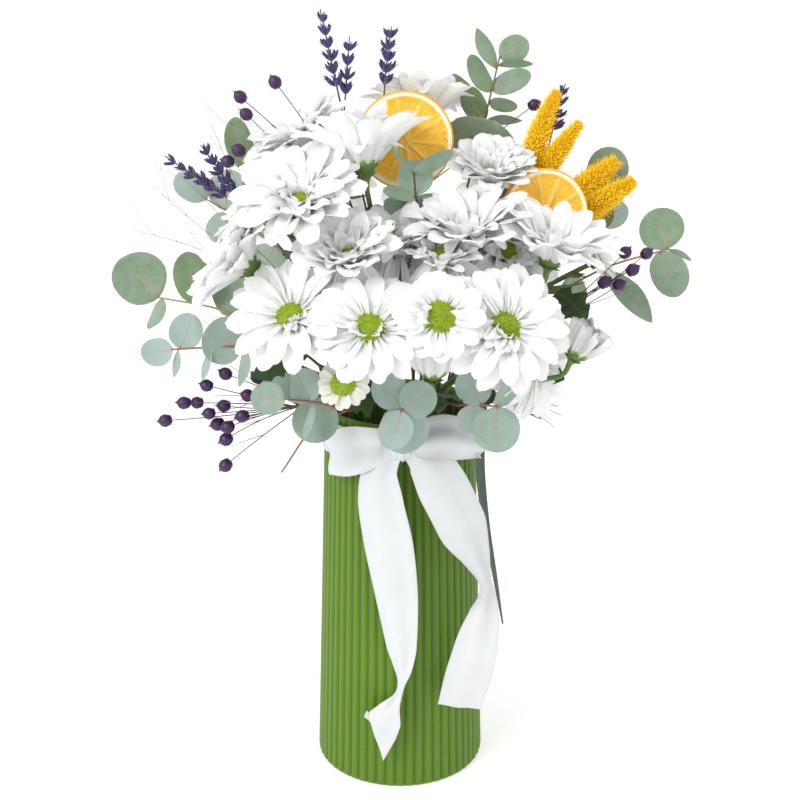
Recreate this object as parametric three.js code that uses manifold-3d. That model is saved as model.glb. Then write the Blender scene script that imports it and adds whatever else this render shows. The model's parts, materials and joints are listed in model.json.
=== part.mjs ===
import * as THREE from "three";
import { mergeVertices } from "three/addons/utils/BufferGeometryUtils.js";
import Module from "manifold-3d";

const wasm = await Module();
wasm.setup();

// Driving dimensions, in millimetres and degrees.
// The origin is the centre of the vase's foot, +Z is up and the front faces -Y.
const vaseHeight = 250;
const vaseFootRadius = 56;
const vaseRimRadius = 48;
const vaseRibs = 54;
const vaseRibDepth = 1.3;
const vaseInsideSides = 32;
const vaseWall = 3.6;
const vaseFloor = 5;
const waterTop = 118;
const freshFoot = 16;
const dryFoot = 126;
const neckLevel = 255;
const clearance = 0.3;

const sprayStemRadius = 2.3;
const branchRadius = 1.7;
const twigRadius = 1.4;
const fineTwigRadius = 0.6;

const petalWidth = 11.5;
const petalKeel = 1.5;
const petalCurl = 12;
// A petal is widest at this part of its length, and its tip is this part of its width.
const petalShoulder = 0.64;
const petalTip = 0.5;
const leafKeel = 1;
const ribbonThickness = 0.8;
const sliceThickness = 4.6;
const pickRadius = 1.1;
const flaxHeadRadius = 4.1;

const colours = {
  vase: 0x5f9a2e,
  water: 0xa8c8d0,
  ribbon: 0xf4f2ee,
  petal: 0xfbfaf5,
  daisyStem: 0x5e8a34,
  eucalyptus: 0x86a592,
  flax: 0x3c2347,
  lavender: 0x3f3370,
  foxtail: 0xf0b211,
  orange: 0xf09a1c,
  pick: 0xa9814f,
  grass: 0x59675a,
};

const radians = (degrees) => (degrees * Math.PI) / 180;
const point = (list) => new THREE.Vector3(list[0], list[1], list[2]);

// A small seeded generator, so that every build draws the same leaves and petals.
function seeded(seed) {
  let state = seed * 7919 + 13;
  return () => {
    state = (state * 1103515245 + 12345) % 2147483648;
    return state / 2147483648;
  };
}

// The direction of an azimuth (0 faces the front, 90 faces +X) and an elevation.
function heading(azimuth, elevation) {
  const a = radians(azimuth);
  const e = radians(elevation);
  return new THREE.Vector3(
    Math.sin(a) * Math.cos(e),
    -Math.cos(a) * Math.cos(e),
    Math.sin(e),
  );
}

// Solids: a closed geometry becomes a manifold solid and comes back as a geometry.
function solidOf(geometry) {
  const bare = geometry.clone();
  bare.deleteAttribute("normal");
  bare.deleteAttribute("uv");
  const merged = mergeVertices(bare, 1e-3);
  return new wasm.Manifold(new wasm.Mesh({
    numProp: 3,
    vertProperties: new Float32Array(merged.attributes.position.array),
    triVerts: new Uint32Array(merged.index.array),
  }));
}

function geometryOf(solid) {
  const mesh = solid.getMesh();
  const geometry = new THREE.BufferGeometry();
  geometry.setAttribute("position", new THREE.BufferAttribute(mesh.vertProperties, 3));
  geometry.setIndex(new THREE.BufferAttribute(mesh.triVerts, 1));
  geometry.computeVertexNormals();
  return geometry;
}

function unite(geometries) {
  return wasm.Manifold.union(geometries.map(solidOf));
}

// A loft through sections with the same number of points. The two faces of a thin
// section are split along matching diagonals, so that a bent blade never crosses itself.
function loft(sections, mirrored = []) {
  const sides = sections[0].length;
  const corners = sections.flat();
  const faces = [];
  for (let i = 0; i < sections.length - 1; i += 1) {
    for (let j = 0; j < sides; j += 1) {
      const a = i * sides + j;
      const b = i * sides + ((j + 1) % sides);
      const c = a + sides;
      const d = b + sides;
      if (mirrored.includes(j)) {
        faces.push(a, b, c, b, d, c);
      } else {
        faces.push(a, b, d, a, d, c);
      }
    }
  }
  const last = (sections.length - 1) * sides;
  for (let j = 1; j < sides - 1; j += 1) {
    faces.push(0, j + 1, j);
    faces.push(last, last + j, last + j + 1);
  }
  return closedGeometry(corners, faces);
}

// A closed geometry from its corners and faces, turned to face outwards.
function closedGeometry(corners, faces) {
  const geometry = new THREE.BufferGeometry();
  const positions = corners.flatMap((corner) => [corner.x, corner.y, corner.z]);
  geometry.setAttribute("position", new THREE.Float32BufferAttribute(positions, 3));
  if (signedVolume(corners, faces) < 0) {
    for (let i = 0; i < faces.length; i += 3) {
      [faces[i + 1], faces[i + 2]] = [faces[i + 2], faces[i + 1]];
    }
  }
  geometry.setIndex(faces);
  return geometry;
}

function signedVolume(corners, faces) {
  let volume = 0;
  for (let i = 0; i < faces.length; i += 3) {
    const [a, b, c] = [corners[faces[i]], corners[faces[i + 1]], corners[faces[i + 2]]];
    volume += a.dot(new THREE.Vector3().crossVectors(b, c)) / 6;
  }
  return volume;
}

// A flat strip: each station has a place, the direction across it and a width.
function strip(stations, thickness, grow = 0) {
  const places = stations.map((station) => point(station.at));
  const sections = stations.map((station, i) => {
    const before = places[Math.max(i - 1, 0)];
    const after = places[Math.min(i + 1, places.length - 1)];
    const along = after.clone().sub(before).normalize();
    const across = point(station.across);
    across.addScaledVector(along, -across.dot(along)).normalize();
    const normal = new THREE.Vector3().crossVectors(along, across);
    const half = station.width / 2 + grow;
    const depth = thickness / 2 + grow;
    const centre = places[i].clone();
    if (i === 0) {
      centre.addScaledVector(along, -grow);
    }
    if (i === places.length - 1) {
      centre.addScaledVector(along, grow);
    }
    const corner = (x, z) => centre.clone()
      .addScaledVector(across, x * half)
      .addScaledVector(normal, z * depth);
    return [corner(-1, 1), corner(1, 1), corner(1, -1), corner(-1, -1)];
  });
  return loft(sections, [2]);
}

// The section of a blade, flat above a low keel. The room round it has two more corners,
// which keep the clearance at its thin edges too.
function bladeSection(centre, across, normal, half, keel, grow) {
  const corner = (x, z) => centre.clone()
    .addScaledVector(across, x)
    .addScaledVector(normal, z);
  if (grow === 0) {
    return [corner(-half, 0), corner(half, 0), corner(0, -keel)];
  }
  const reach = half + grow;
  return [
    corner(-reach, grow),
    corner(reach, grow),
    corner(reach, -grow),
    corner(0, -keel - 1.5 * grow),
    corner(-reach, -grow),
  ];
}

// A leaf blade from its foot to its tip. Its outline is a list of
// [part of the length, part of the width], roll 0 faces the front, and arch bends it.
const roundOutline = [[0, 0.16], [0.22, 0.82], [0.66, 1], [1, 0.36]];
const narrowOutline = [[0, 0.3], [0.5, 1], [1, 0.14]];
const smallOutline = [[0, 0.2], [0.5, 1], [1, 0.4]];
const lobedOutline = [[0, 0.14], [0.24, 0.66], [0.38, 0.44], [0.6, 1], [0.76, 0.6], [1, 0.14]];

function leaf({ root, tip, width, roll = 0, outline, arch = 0.08, face }, grow) {
  const start = point(root);
  const along = point(tip).sub(start);
  const length = along.length();
  along.normalize();
  const towards = face ? point(face) : heading(0, 12);
  const normal = towards.addScaledVector(along, -towards.dot(along)).normalize();
  normal.applyAxisAngle(along, radians(roll));
  const across = new THREE.Vector3().crossVectors(along, normal);
  const shape = outline ?? (width < 20 ? smallOutline : roundOutline);
  const sections = shape.map(([part, share]) => {
    const centre = start.clone()
      .addScaledVector(along, part * length + (part === 1 ? grow : 0))
      .addScaledVector(normal, -arch * length * 4 * part * (1 - part));
    return bladeSection(centre, across, normal, (share * width) / 2, leafKeel, grow);
  });
  return loft(sections);
}

// The places along a stem. It runs straight from its foot to its second point, and from
// there on a smooth curve with perSegment places between two of its points.
function stemPlaces(points, perSegment) {
  const curve = new THREE.CatmullRomCurve3(points.map(point), false, "centripetal");
  const segments = points.length - 1;
  const places = [point(points[0])];
  for (let i = 1; i < segments; i += 1) {
    for (let j = 0; j < perSegment; j += 1) {
      places.push(curve.getPoint((i + j / perSegment) / segments));
    }
  }
  places.push(point(points.at(-1)));
  return places;
}

// The place on some stems that is nearest to a point.
function nearestOn(stems, place) {
  const target = point(place);
  const choices = stems.flatMap((places) => places.slice(1).map((end, i) => (
    new THREE.Line3(places[i], end).closestPointToPoint(target, true, new THREE.Vector3())
  )));
  return choices.reduce((best, choice) => (
    choice.distanceTo(target) < best.distanceTo(target) ? choice : best
  )).toArray();
}

// A stem with flat sides along its places.
function stem(places, radius, sides, grow = 0) {
  const reach = radius + grow / Math.cos(Math.PI / sides);
  let side = null;
  const sections = places.map((place, i) => {
    const before = places[Math.max(i - 1, 0)];
    const after = places[Math.min(i + 1, places.length - 1)];
    const along = after.clone().sub(before).normalize();
    side = side ?? new THREE.Vector3(0.2, -1, 0.1);
    side = side.clone().addScaledVector(along, -side.dot(along)).normalize();
    const other = new THREE.Vector3().crossVectors(along, side);
    const centre = place.clone();
    if (i === 0) {
      centre.addScaledVector(along, -grow);
    }
    if (i === places.length - 1) {
      centre.addScaledVector(along, grow);
    }
    const ring = [];
    for (let j = 0; j < sides; j += 1) {
      const turn = (2 * Math.PI * j) / sides;
      ring.push(centre.clone()
        .addScaledVector(side, reach * Math.cos(turn))
        .addScaledVector(other, reach * Math.sin(turn)));
    }
    return ring;
  });
  return loft(sections);
}

// A turned solid standing on the point at, with its axis along direction.
function turned(profile, sides, at, direction) {
  const outline = profile.map(([radius, height]) => new THREE.Vector2(radius, height));
  const geometry = new THREE.LatheGeometry(outline, sides);
  const upright = new THREE.Vector3(0, 1, 0);
  geometry.applyQuaternion(new THREE.Quaternion().setFromUnitVectors(upright, direction));
  geometry.translate(at.x, at.y, at.z);
  return geometry;
}

// Nodes. A node's firm parts keep their whole shape. Its soft parts are leaves, petals
// and heads, which give way to every other node's firm parts and to earlier soft parts.
const plants = [];

function addNode(name, group, colour, firm, soft = () => []) {
  plants.push({ name, group, colour, firm, soft });
}

function boxesMeet(a, b) {
  return [0, 1, 2].every((axis) => a.min[axis] < b.max[axis] && b.min[axis] < a.max[axis]);
}

function largestBody(solid) {
  const bodies = solid.decompose();
  return bodies.reduce((best, body) => (body.volume() > best.volume() ? body : best));
}

function emptyMesh() {
  return new wasm.Mesh({
    numProp: 3,
    vertProperties: new Float32Array(0),
    triVerts: new Uint32Array(0),
  });
}

function settle() {
  for (const plant of plants) {
    const firmParts = plant.firm(0);
    plant.firmSolid = firmParts.length ? unite(firmParts) : new wasm.Manifold(emptyMesh());
    plant.firmGrown = firmParts.length ? unite(plant.firm(clearance)) : plant.firmSolid;
    const softParts = plant.soft(0);
    plant.softSolid = softParts.length ? unite(softParts) : null;
    plant.softGrown = softParts.length ? unite(plant.soft(clearance)) : null;
  }
  plants.forEach((plant, order) => {
    plant.solid = plant.firmSolid;
    if (plant.softSolid) {
      const own = plant.softSolid.boundingBox();
      const inTheWay = plants.flatMap((other, place) => {
        if (other === plant) {
          return [];
        }
        return place < order && other.softGrown
          ? [other.firmGrown, other.softGrown]
          : [other.firmGrown];
      }).filter((solid) => boxesMeet(solid.boundingBox(), own));
      const cleared = inTheWay.length
        ? wasm.Manifold.difference([plant.softSolid, ...inTheWay])
        : plant.softSolid;
      const whole = largestBody(plant.firmSolid.add(cleared));
      plant.solid = largestBody(solidOf(geometryOf(whole)));
    }
  });
}

// The vase: a tapered shell with upright rounded ribs outside and a smooth inside.
function vaseRing(radius, level, ribbed) {
  const ring = [];
  for (let i = 0; i < vaseRibs; i += 1) {
    for (const [share, depth] of [[0, 1], [0.5, 0]]) {
      const turn = (2 * Math.PI * (i + share)) / vaseRibs;
      const reach = ribbed ? radius - depth * vaseRibDepth : radius;
      ring.push(new THREE.Vector3(reach * Math.cos(turn), reach * Math.sin(turn), level));
    }
  }
  return ring;
}

function vaseInside(level) {
  const slope = (vaseFootRadius - vaseRimRadius) / vaseHeight;
  return vaseFootRadius - slope * level - vaseRibDepth - vaseWall;
}

function vaseGeometries() {
  const outside = loft([
    vaseRing(vaseFootRadius, 0, true),
    vaseRing(vaseRimRadius, vaseHeight, true),
  ]);
  const hollow = turned([
    [0, vaseFloor],
    [vaseInside(vaseFloor), vaseFloor],
    [vaseInside(vaseHeight + 5), vaseHeight + 5],
    [0, vaseHeight + 5],
  ], vaseInsideSides, new THREE.Vector3(), new THREE.Vector3(0, 0, 1));
  return { outside, hollow };
}

const vaseParts = vaseGeometries();
const vaseSolid = solidOf(vaseParts.outside).subtract(solidOf(vaseParts.hollow));
addNode("vase", "holder", colours.vase, () => [geometryOf(vaseSolid)]);

// Water stands in the vase up to waterTop, and each stem has a plain hole in it.
const waterBottom = vaseFloor + clearance;
const waterProfile = [
  [0, waterBottom],
  [vaseInside(waterBottom) - clearance - 0.15, waterBottom],
  [vaseInside(waterTop) - clearance - 0.15, waterTop],
  [0, waterTop],
];

// The ribbon: a band round the neck of the vase, a knot, two loops and two tails.
const bandInside = 49.6;
const bandBottom = 222;
const bandTop = 246;
const leftLoop = [
  { at: [-4, -58, 242], across: [0, 0, 1], width: 16 },
  { at: [-14, -62, 242], across: [0, -0.1, 1], width: 26 },
  { at: [-26, -60, 240], across: [-0.05, 0, 1], width: 30 },
  { at: [-37, -52, 235], across: [-0.15, 0, 1], width: 31 },
  { at: [-45.5, -42, 232], across: [-0.2, 0, 1], width: 31 },
  { at: [-46.5, -37, 231], across: [-0.2, 0, 1], width: 31 },
  { at: [-42, -35.5, 232], across: [-0.15, 0, 1], width: 30 },
  { at: [-30, -45, 235], across: [-0.1, 0, 1], width: 28 },
  { at: [-16, -53, 239], across: [0, 0, 1], width: 22 },
  { at: [-4, -56, 241], across: [0, 0, 1], width: 15 },
];
const rightLoop = [
  { at: [5, -58, 244], across: [0, 0, 1], width: 16 },
  { at: [14, -64, 248], across: [0, 0.35, 1], width: 24 },
  { at: [26, -64, 250], across: [0.1, 0.5, 1], width: 27 },
  { at: [38, -56, 245], across: [0.35, 0.5, 1], width: 25 },
  { at: [47.5, -46, 238], across: [0.3, 0.15, 1], width: 19 },
  { at: [51, -40, 235], across: [0.25, 0, 1], width: 15 },
  { at: [45, -36.5, 233], across: [0.25, 0, 1], width: 15 },
  { at: [33, -44, 236], across: [0, 0, 1], width: 18 },
  { at: [18, -53, 239], across: [0, 0, 1], width: 18 },
  { at: [5, -56, 241], across: [0, 0, 1], width: 15 },
];
const leftTail = [
  { at: [-4, -59, 240], across: [1, 0, 0.3], width: 12 },
  { at: [-12, -60.5, 226], across: [0.95, -0.1, 0.27], width: 22 },
  { at: [-12, -61, 208], across: [0.96, -0.12, 0.24], width: 28 },
  { at: [-7, -62, 178], across: [0.95, -0.18, 0.24], width: 31 },
  { at: [-2, -62, 142], across: [0.99, -0.15, 0.08], width: 27 },
  { at: [1, -63, 106], across: [0.94, -0.31, 0.1], width: 20 },
  { at: [0, -64, 82], across: [0.66, -0.68, 0.3], width: 15 },
  { at: [-4, -65, 66], across: [0.5, -0.5, -0.7], width: 19 },
  { at: [-12, -63, 48], across: [0.45, -0.1, -0.9], width: 28 },
  { at: [-16, -62, 40], across: [0.2, -0.07, -0.98], width: 30 },
];
const rightTail = [
  { at: [4, -59, 242], across: [1, 0, 0.3], width: 12 },
  { at: [16, -60, 234], across: [0.97, 0, -0.1], width: 26 },
  { at: [28, -60, 212], across: [0.95, 0.16, -0.2], width: 32 },
  { at: [38, -61, 191], across: [0.92, 0.26, -0.2], width: 32 },
  { at: [48, -62, 171], across: [0.85, 0.44, -0.2], width: 23 },
  { at: [55, -62, 153], across: [0.8, 0.2, 0.1], width: 15 },
  { at: [56, -61, 134], across: [0.86, -0.23, 0.4], width: 20 },
  { at: [50, -61, 108], across: [0.86, -0.12, 0.45], width: 33 },
  { at: [44, -61, 84], across: [0.92, -0.11, 0.36], width: 36 },
  { at: [41, -60, 70], across: [0.96, -0.14, 0.2], width: 33 },
];

function bandGeometry(grow) {
  return turned([
    [bandInside - grow, bandBottom - grow],
    [bandInside + ribbonThickness + grow, bandBottom - grow],
    [bandInside + ribbonThickness + grow, bandTop + grow],
    [bandInside - grow, bandTop + grow],
    [bandInside - grow, bandBottom - grow],
  ], 24, new THREE.Vector3(), new THREE.Vector3(0, 0, 1));
}

function knotGeometry(grow) {
  const knot = new THREE.SphereGeometry(1, 8, 4);
  knot.scale(9 + grow, 7.5 + grow, 10 + grow);
  knot.translate(0.5, -56.5, 241);
  return knot;
}

addNode("ribbon", "holder", colours.ribbon, (grow) => [
  bandGeometry(grow),
  knotGeometry(grow),
  ...[leftLoop, rightLoop, leftTail, rightTail].map(
    (stations) => strip(stations, ribbonThickness, grow),
  ),
]);

// Daisies. Each bloom has its centre, the way it faces, how far its petals lift from
// flat (cup), the length of its petals and their number. A disc under 1 is a small one.
const blooms = {
  front_left: { at: [-61, -95, 333], face: [-20, 48], cup: 14, length: 29, petals: 16, front: true },
  front: { at: [-14, -112, 332], face: [-2, 42], cup: 10, length: 28, petals: 16, front: true },
  front_inner: { at: [21, -88, 333], face: [5, 32], cup: 14, length: 26, petals: 14, front: true },
  front_right: { at: [58, -105, 330], face: [14, 28], cup: 8, length: 29, petals: 16, front: true },
  front_small: {
    at: [-32, -104, 297], face: [-5, 22], cup: 10, length: 9, petals: 10, front: true, disc: 0.72, width: 5,
  },
  front_low: { at: [19, -80, 297], face: [0, 76], cup: 48, length: 25, petals: 10 },
  right_bud: { at: [103, -72, 305], face: [85, 58], cup: 56, length: 20, petals: 9, disc: 0.8, width: 7 },
  right_low: { at: [80, -66, 296], face: [42, -6], cup: 4, length: 26, petals: 10 },
  top_centre: { at: [-21, -40, 409], face: [-100, 68], cup: 26, length: 31, petals: 12 },
  top_left: { at: [-58, -6, 416], face: [-75, 62], cup: 20, length: 27, petals: 12 },
  left_high: { at: [-57, -60, 390], face: [-12, 56], cup: 18, length: 29, petals: 14 },
  left_back: { at: [-76, -34, 378], face: [-98, 46], cup: 26, length: 27, petals: 12 },
  left_low: { at: [-88, -66, 356], face: [-82, 36], cup: 20, length: 29, petals: 14 },
  top_back: { at: [12, 24, 428], face: [175, 68], cup: 32, length: 27, petals: 10 },
  right_high: { at: [40, -58, 368], face: [-20, 74], cup: 38, length: 31, petals: 12 },
  right_top: { at: [54, -14, 396], face: [10, 70], cup: 36, length: 27, petals: 11 },
  right_upper: { at: [87, -66, 361], face: [52, 72], cup: 22, length: 28, petals: 12 },
  centre_left: { at: [-29, -78, 362], face: [-20, 62], cup: 34, length: 22, petals: 10 },
  centre: { at: [0, -56, 362], face: [0, 76], cup: 46, length: 25, petals: 10 },
  centre_right: { at: [24, -74, 361], face: [12, 66], cup: 48, length: 14, petals: 9, width: 8 },
  right_inner: { at: [62, -42, 359], face: [8, 16], cup: 2, length: 25, petals: 11 },
  right_back: { at: [117, -32, 350], face: [75, 30], cup: 10, length: 25, petals: 11 },
  back_left: { at: [-52, 66, 368], face: [205, 40], cup: 14, length: 28, petals: 12 },
  back: { at: [8, 88, 340], face: [180, 32], cup: 12, length: 28, petals: 13 },
  back_right: { at: [70, 60, 366], face: [150, 42], cup: 14, length: 28, petals: 12 },
};

const receptacleProfile = [[0, -9], [7.6, -1.5], [5.2, -1.5], [5.2, 1.5], [7.4, 1.5], [0, 4.4]];
const ringInside = 6.4;
const ringOutside = 8.6;
const ringHalf = 1.15;

function receptacle(bloom, grow) {
  const scale = bloom.disc ?? 1;
  const profile = receptacleProfile.map(([radius, height]) => {
    const out = radius > 0 ? grow : 0;
    const up = height > 2 || height === -9 ? Math.sign(height) * grow : 0;
    return [radius * scale + out, height * scale + up];
  });
  return turned(profile, bloom.front ? 7 : 4, point(bloom.at), heading(...bloom.face));
}

// The frame of a bloom: its centre, its axis, and a place at a turn round the axis.
function bloomFrame(bloom) {
  const axis = heading(...bloom.face);
  const side = new THREE.Vector3(0, 0, 1).cross(axis).normalize();
  const up = new THREE.Vector3().crossVectors(axis, side);
  const centre = point(bloom.at);
  const out = (turn) => side.clone().multiplyScalar(Math.cos(turn))
    .addScaledVector(up, Math.sin(turn));
  const place = (turn, reach, height) => centre.clone()
    .addScaledVector(out(turn), reach)
    .addScaledVector(axis, height);
  return { axis, out, place };
}

// The petals of a bloom: each has its turn round the axis, and its section where it is
// widest and at its tip. Every second petal lifts more, which makes the upper layer.
function bloomPetals(bloom, seed, grow) {
  const random = seeded(seed);
  const { axis, out, place } = bloomFrame(bloom);
  const step = (2 * Math.PI) / bloom.petals;
  const widest = (bloom.width ?? petalWidth) / 2;
  const petals = [];
  for (let i = 0; i < bloom.petals; i += 1) {
    const upper = i % 2;
    const turn = (i + 0.5) * step;
    const cup = bloom.cup + 17 * upper + 5 * (random() - 0.5);
    const length = bloom.length * (1 - 0.07 * upper + 0.1 * (random() - 0.5));
    const sections = [petalShoulder, 1].map((part) => {
      const bent = radians(cup - petalCurl * part * part);
      const reach = part * length + (part === 1 ? grow : 0);
      const distance = ringOutside * (bloom.disc ?? 1) + reach * Math.cos(bent);
      const middle = place(turn, distance, reach * Math.sin(bent));
      const normal = axis.clone().multiplyScalar(Math.cos(bent))
        .addScaledVector(out(turn), -Math.sin(bent));
      const half = Math.min(widest, 0.98 * distance * Math.tan(step / 2));
      const share = part === 1 ? petalTip : 1;
      const keel = part === 1 ? 0 : petalKeel;
      return bladeSection(middle, out(turn + Math.PI / 2), normal, half * share, keel, grow);
    });
    petals.push({ turn, sections });
  }
  return petals;
}

// The crown of a bloom is one body: a ring round the neck of the receptacle, and petals
// that each grow out of their own side of the ring.
function crown(bloom, seed) {
  const { place } = bloomFrame(bloom);
  const scale = bloom.disc ?? 1;
  const edge = ringHalf * scale;
  const corners = [];
  const faces = [];
  for (let i = 0; i < bloom.petals; i += 1) {
    const turn = (2 * Math.PI * i) / bloom.petals;
    corners.push(place(turn, ringInside * scale, edge));
    corners.push(place(turn, ringInside * scale, -edge));
    corners.push(place(turn, ringOutside * scale, edge));
    corners.push(place(turn, ringOutside * scale, -edge));
  }
  bloomPetals(bloom, seed, 0).forEach(({ sections }, i) => {
    const [innerTop, innerLow, left, leftLow] = [0, 1, 2, 3].map((k) => 4 * i + k);
    const next = 4 * ((i + 1) % bloom.petals);
    const [nextTop, nextLow, right, rightLow] = [0, 1, 2, 3].map((k) => next + k);
    faces.push(innerTop, left, right, innerTop, right, nextTop);
    faces.push(innerLow, rightLow, leftLow, innerLow, nextLow, rightLow);
    faces.push(innerTop, nextTop, nextLow, innerTop, nextLow, innerLow);
    const near = corners.length;
    const far = near + 3;
    corners.push(...sections[0], sections[1][0], sections[1][1]);
    faces.push(left, near, near + 1, left, near + 1, right);
    faces.push(right, near + 1, near + 2, right, near + 2, rightLow);
    faces.push(leftLow, near + 2, near, leftLow, near, left);
    faces.push(leftLow, rightLow, near + 2);
    faces.push(near, far, far + 1, near, far + 1, near + 1);
    faces.push(near + 1, far + 1, near + 2, near + 2, far, near);
    faces.push(near + 2, far + 1, far);
  });
  return closedGeometry(corners, faces);
}

// The room that a crown takes up: a thicker ring and a thicker blade for each petal.
function crownRoom(bloom, seed, grow) {
  const { axis, out, place } = bloomFrame(bloom);
  const scale = bloom.disc ?? 1;
  const [inside, outside, edge] = [ringInside, ringOutside, ringHalf].map((r) => r * scale);
  const ring = turned([
    [inside - grow, -edge - grow],
    [outside + grow, -edge - grow],
    [outside + grow, edge + grow],
    [inside - grow, edge + grow],
    [inside - grow, -edge - grow],
  ], 2 * bloom.petals, point(bloom.at), axis);
  const half = outside * Math.sin(Math.PI / bloom.petals);
  const chord = outside * Math.cos(Math.PI / bloom.petals);
  const blades = bloomPetals(bloom, seed, grow).map(({ turn, sections }) => {
    const foot = place(turn, chord, edge);
    const across = out(turn + Math.PI / 2);
    const root = bladeSection(foot, across, axis, half, 2 * edge, grow);
    root[2].addScaledVector(axis, -2 * edge);
    root[4].addScaledVector(axis, -2 * edge);
    return loft([root, ...sections]);
  });
  return [ring, ...blades, crown(bloom, seed)];
}

// Sprays: a main stem from the water to a fork, then a branch to each of its blooms.
// Each branch is bloom name followed by the points between its fork and the bloom.
const sprays = {
  front: {
    main: [[0, -22, freshFoot], [0, -27, neckLevel], [-2, -44, 276]],
    branches: [["front"], ["front_inner"], ["front_small"], ["front_low"]],
    leaves: [
      { root: [-12, -58, 292], tip: [-22, -76, 279], width: 14 },
    ],
  },
  left: {
    main: [[-18, -10, freshFoot], [-21, -13, neckLevel], [-38, -32, 306]],
    branches: [["front_left"], ["left_low"], ["left_back", [-52, -30, 345]],
      ["left_high", [-46, -38, 350]], ["top_left", [-48, -18, 360]]],
    leaves: [
      { root: [-52, -58, 315], tip: [-86, -78, 292], width: 20 },
    ],
  },
  upper: {
    main: [[0, 0, freshFoot], [0, 0, neckLevel], [-3, -14, 318]],
    branches: [["centre_left"], ["centre"], ["centre_right"], ["top_centre", [-14, -26, 366]],
      ["top_back", [4, 6, 372]]],
    leaves: [],
  },
  right: {
    main: [[19, -12, freshFoot], [22, -18, neckLevel], [42, -44, 286]],
    branches: [["front_right"], ["right_low"], ["right_bud"]],
    leaves: [
      { root: [70, -52, 300], tip: [98, -60, 285], width: 18 },
    ],
  },
  upper_right: {
    main: [[14, 1, freshFoot], [17, -1, neckLevel], [42, -22, 318]],
    branches: [["right_high"], ["right_top"], ["right_upper"], ["right_inner"], ["right_back"]],
    leaves: [
      { root: [88, -30, 336], tip: [112, -44, 316], width: 22 },
    ],
  },
  back: {
    main: [[0, 22, freshFoot], [0, 27, neckLevel], [4, 44, 296]],
    branches: [["back_left"], ["back"], ["back_right"]],
    leaves: [
      { root: [-20, 56, 322], tip: [-42, 84, 318], width: 22, face: [0, 1, 0.3] },
      { root: [34, 58, 318], tip: [58, 86, 312], width: 22, face: [0, 1, 0.3] },
    ],
  },
};

// The places along a spray's main stem and along each of its branches. A branch leaves the
// main stem below its end, each a little lower than the one before.
function sprayPlaces(spray) {
  const main = stemPlaces(spray.main, 2);
  const [before, end] = main.slice(-2);
  const branches = spray.branches.map(([name, ...between], i) => {
    const bloom = blooms[name];
    const axis = heading(...bloom.face);
    const centre = point(bloom.at);
    const collar = centre.clone().addScaledVector(axis, -5 * (bloom.disc ?? 1));
    const neck = centre.clone().addScaledVector(axis, -15);
    const fork = end.clone().lerp(before, 0.16 * i);
    return [fork, ...between.map(point), neck, collar];
  });
  return [main, ...branches];
}

function sprayStems(spray, grow) {
  const [main, ...branches] = sprayPlaces(spray);
  return [
    stem(main, sprayStemRadius, 5, grow),
    ...branches.map((places) => stem(places, branchRadius, 3, grow)),
    ...spray.branches.map(([name]) => receptacle(blooms[name], grow)),
  ];
}

for (const [name, spray] of Object.entries(sprays)) {
  addNode(
    `daisy_spray_${name}`,
    "daisies",
    colours.daisyStem,
    (grow) => sprayStems(spray, grow),
    (grow) => spray.leaves.map((blade) => {
      const root = nearestOn(sprayPlaces(spray), blade.root);
      return leaf({ outline: lobedOutline, ...blade, root }, grow);
    }),
  );
}

// Dried orange slices on wooden picks, facing the front.
const slices = {
  centre: {
    at: [3, -10, 419], face: [0, 8],
    radius: 29, foot: [[8, 10, dryFoot], [9, 12, neckLevel], [5, -2, 330]],
  },
  right: {
    at: [86, -27, 378], face: [14, 8],
    radius: 27, foot: [[26, 6, dryFoot], [29, 4, neckLevel], [62, -12, 318]],
  },
};

// A slice is a loft from one face to the other: a hub, flesh that dips between ten
// membranes, a pith ring and the rind.
const sliceSegments = 10;

function sliceGeometry(slice, grow) {
  const axis = heading(...slice.face);
  const side = new THREE.Vector3(0, 0, 1).cross(axis).normalize();
  const up = new THREE.Vector3().crossVectors(axis, side);
  const half = sliceThickness / 2;
  const r = slice.radius;
  const steps = [[2, half, half], [r - 4.5, half, half - 1.1], [r - 3.2, half, half], [r, 0.7, 0.7]];
  const rings = [...steps.map((step) => [...step, -1]), ...steps.reverse().map((step) => [...step, 1])];
  const sections = rings.map(([radius, atMembrane, atFlesh, face]) => {
    const ring = [];
    for (let i = 0; i < 2 * sliceSegments; i += 1) {
      const turn = (Math.PI * (i + 0.4)) / sliceSegments;
      const reach = radius + (radius === r ? grow : 0);
      const height = face * ((i % 2 ? atFlesh : atMembrane) + grow);
      ring.push(point(slice.at)
        .addScaledVector(side, reach * Math.cos(turn))
        .addScaledVector(up, reach * Math.sin(turn))
        .addScaledVector(axis, height));
    }
    return ring;
  });
  return loft(sections);
}

for (const [name, slice] of Object.entries(slices)) {
  addNode(`orange_slice_${name}`, "dried", colours.orange, (grow) => [sliceGeometry(slice, grow)]);
  const axis = heading(...slice.face);
  const down = new THREE.Vector3(0, 0, -1).addScaledVector(axis, axis.z).normalize();
  const behind = point(slice.at).addScaledVector(axis, -sliceThickness / 2 - clearance - pickRadius);
  const tip = behind.clone().addScaledVector(down, 0.2 * slice.radius);
  const below = behind.clone().addScaledVector(down, 1.2 * slice.radius);
  addNode(
    `orange_pick_${name}`,
    "dried",
    colours.pick,
    (grow) => [stem([...slice.foot.map(point), below, tip], pickRadius, 4, grow)],
  );
}

for (const [index, [name, bloom]] of Object.entries(blooms).entries()) {
  addNode(
    `daisy_petals_${name}`,
    "daisies",
    colours.petal,
    () => [],
    (grow) => (grow > 0
      ? crownRoom(bloom, index + 1, grow)
      : [crown(bloom, index + 1)]),
  );
}

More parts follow.
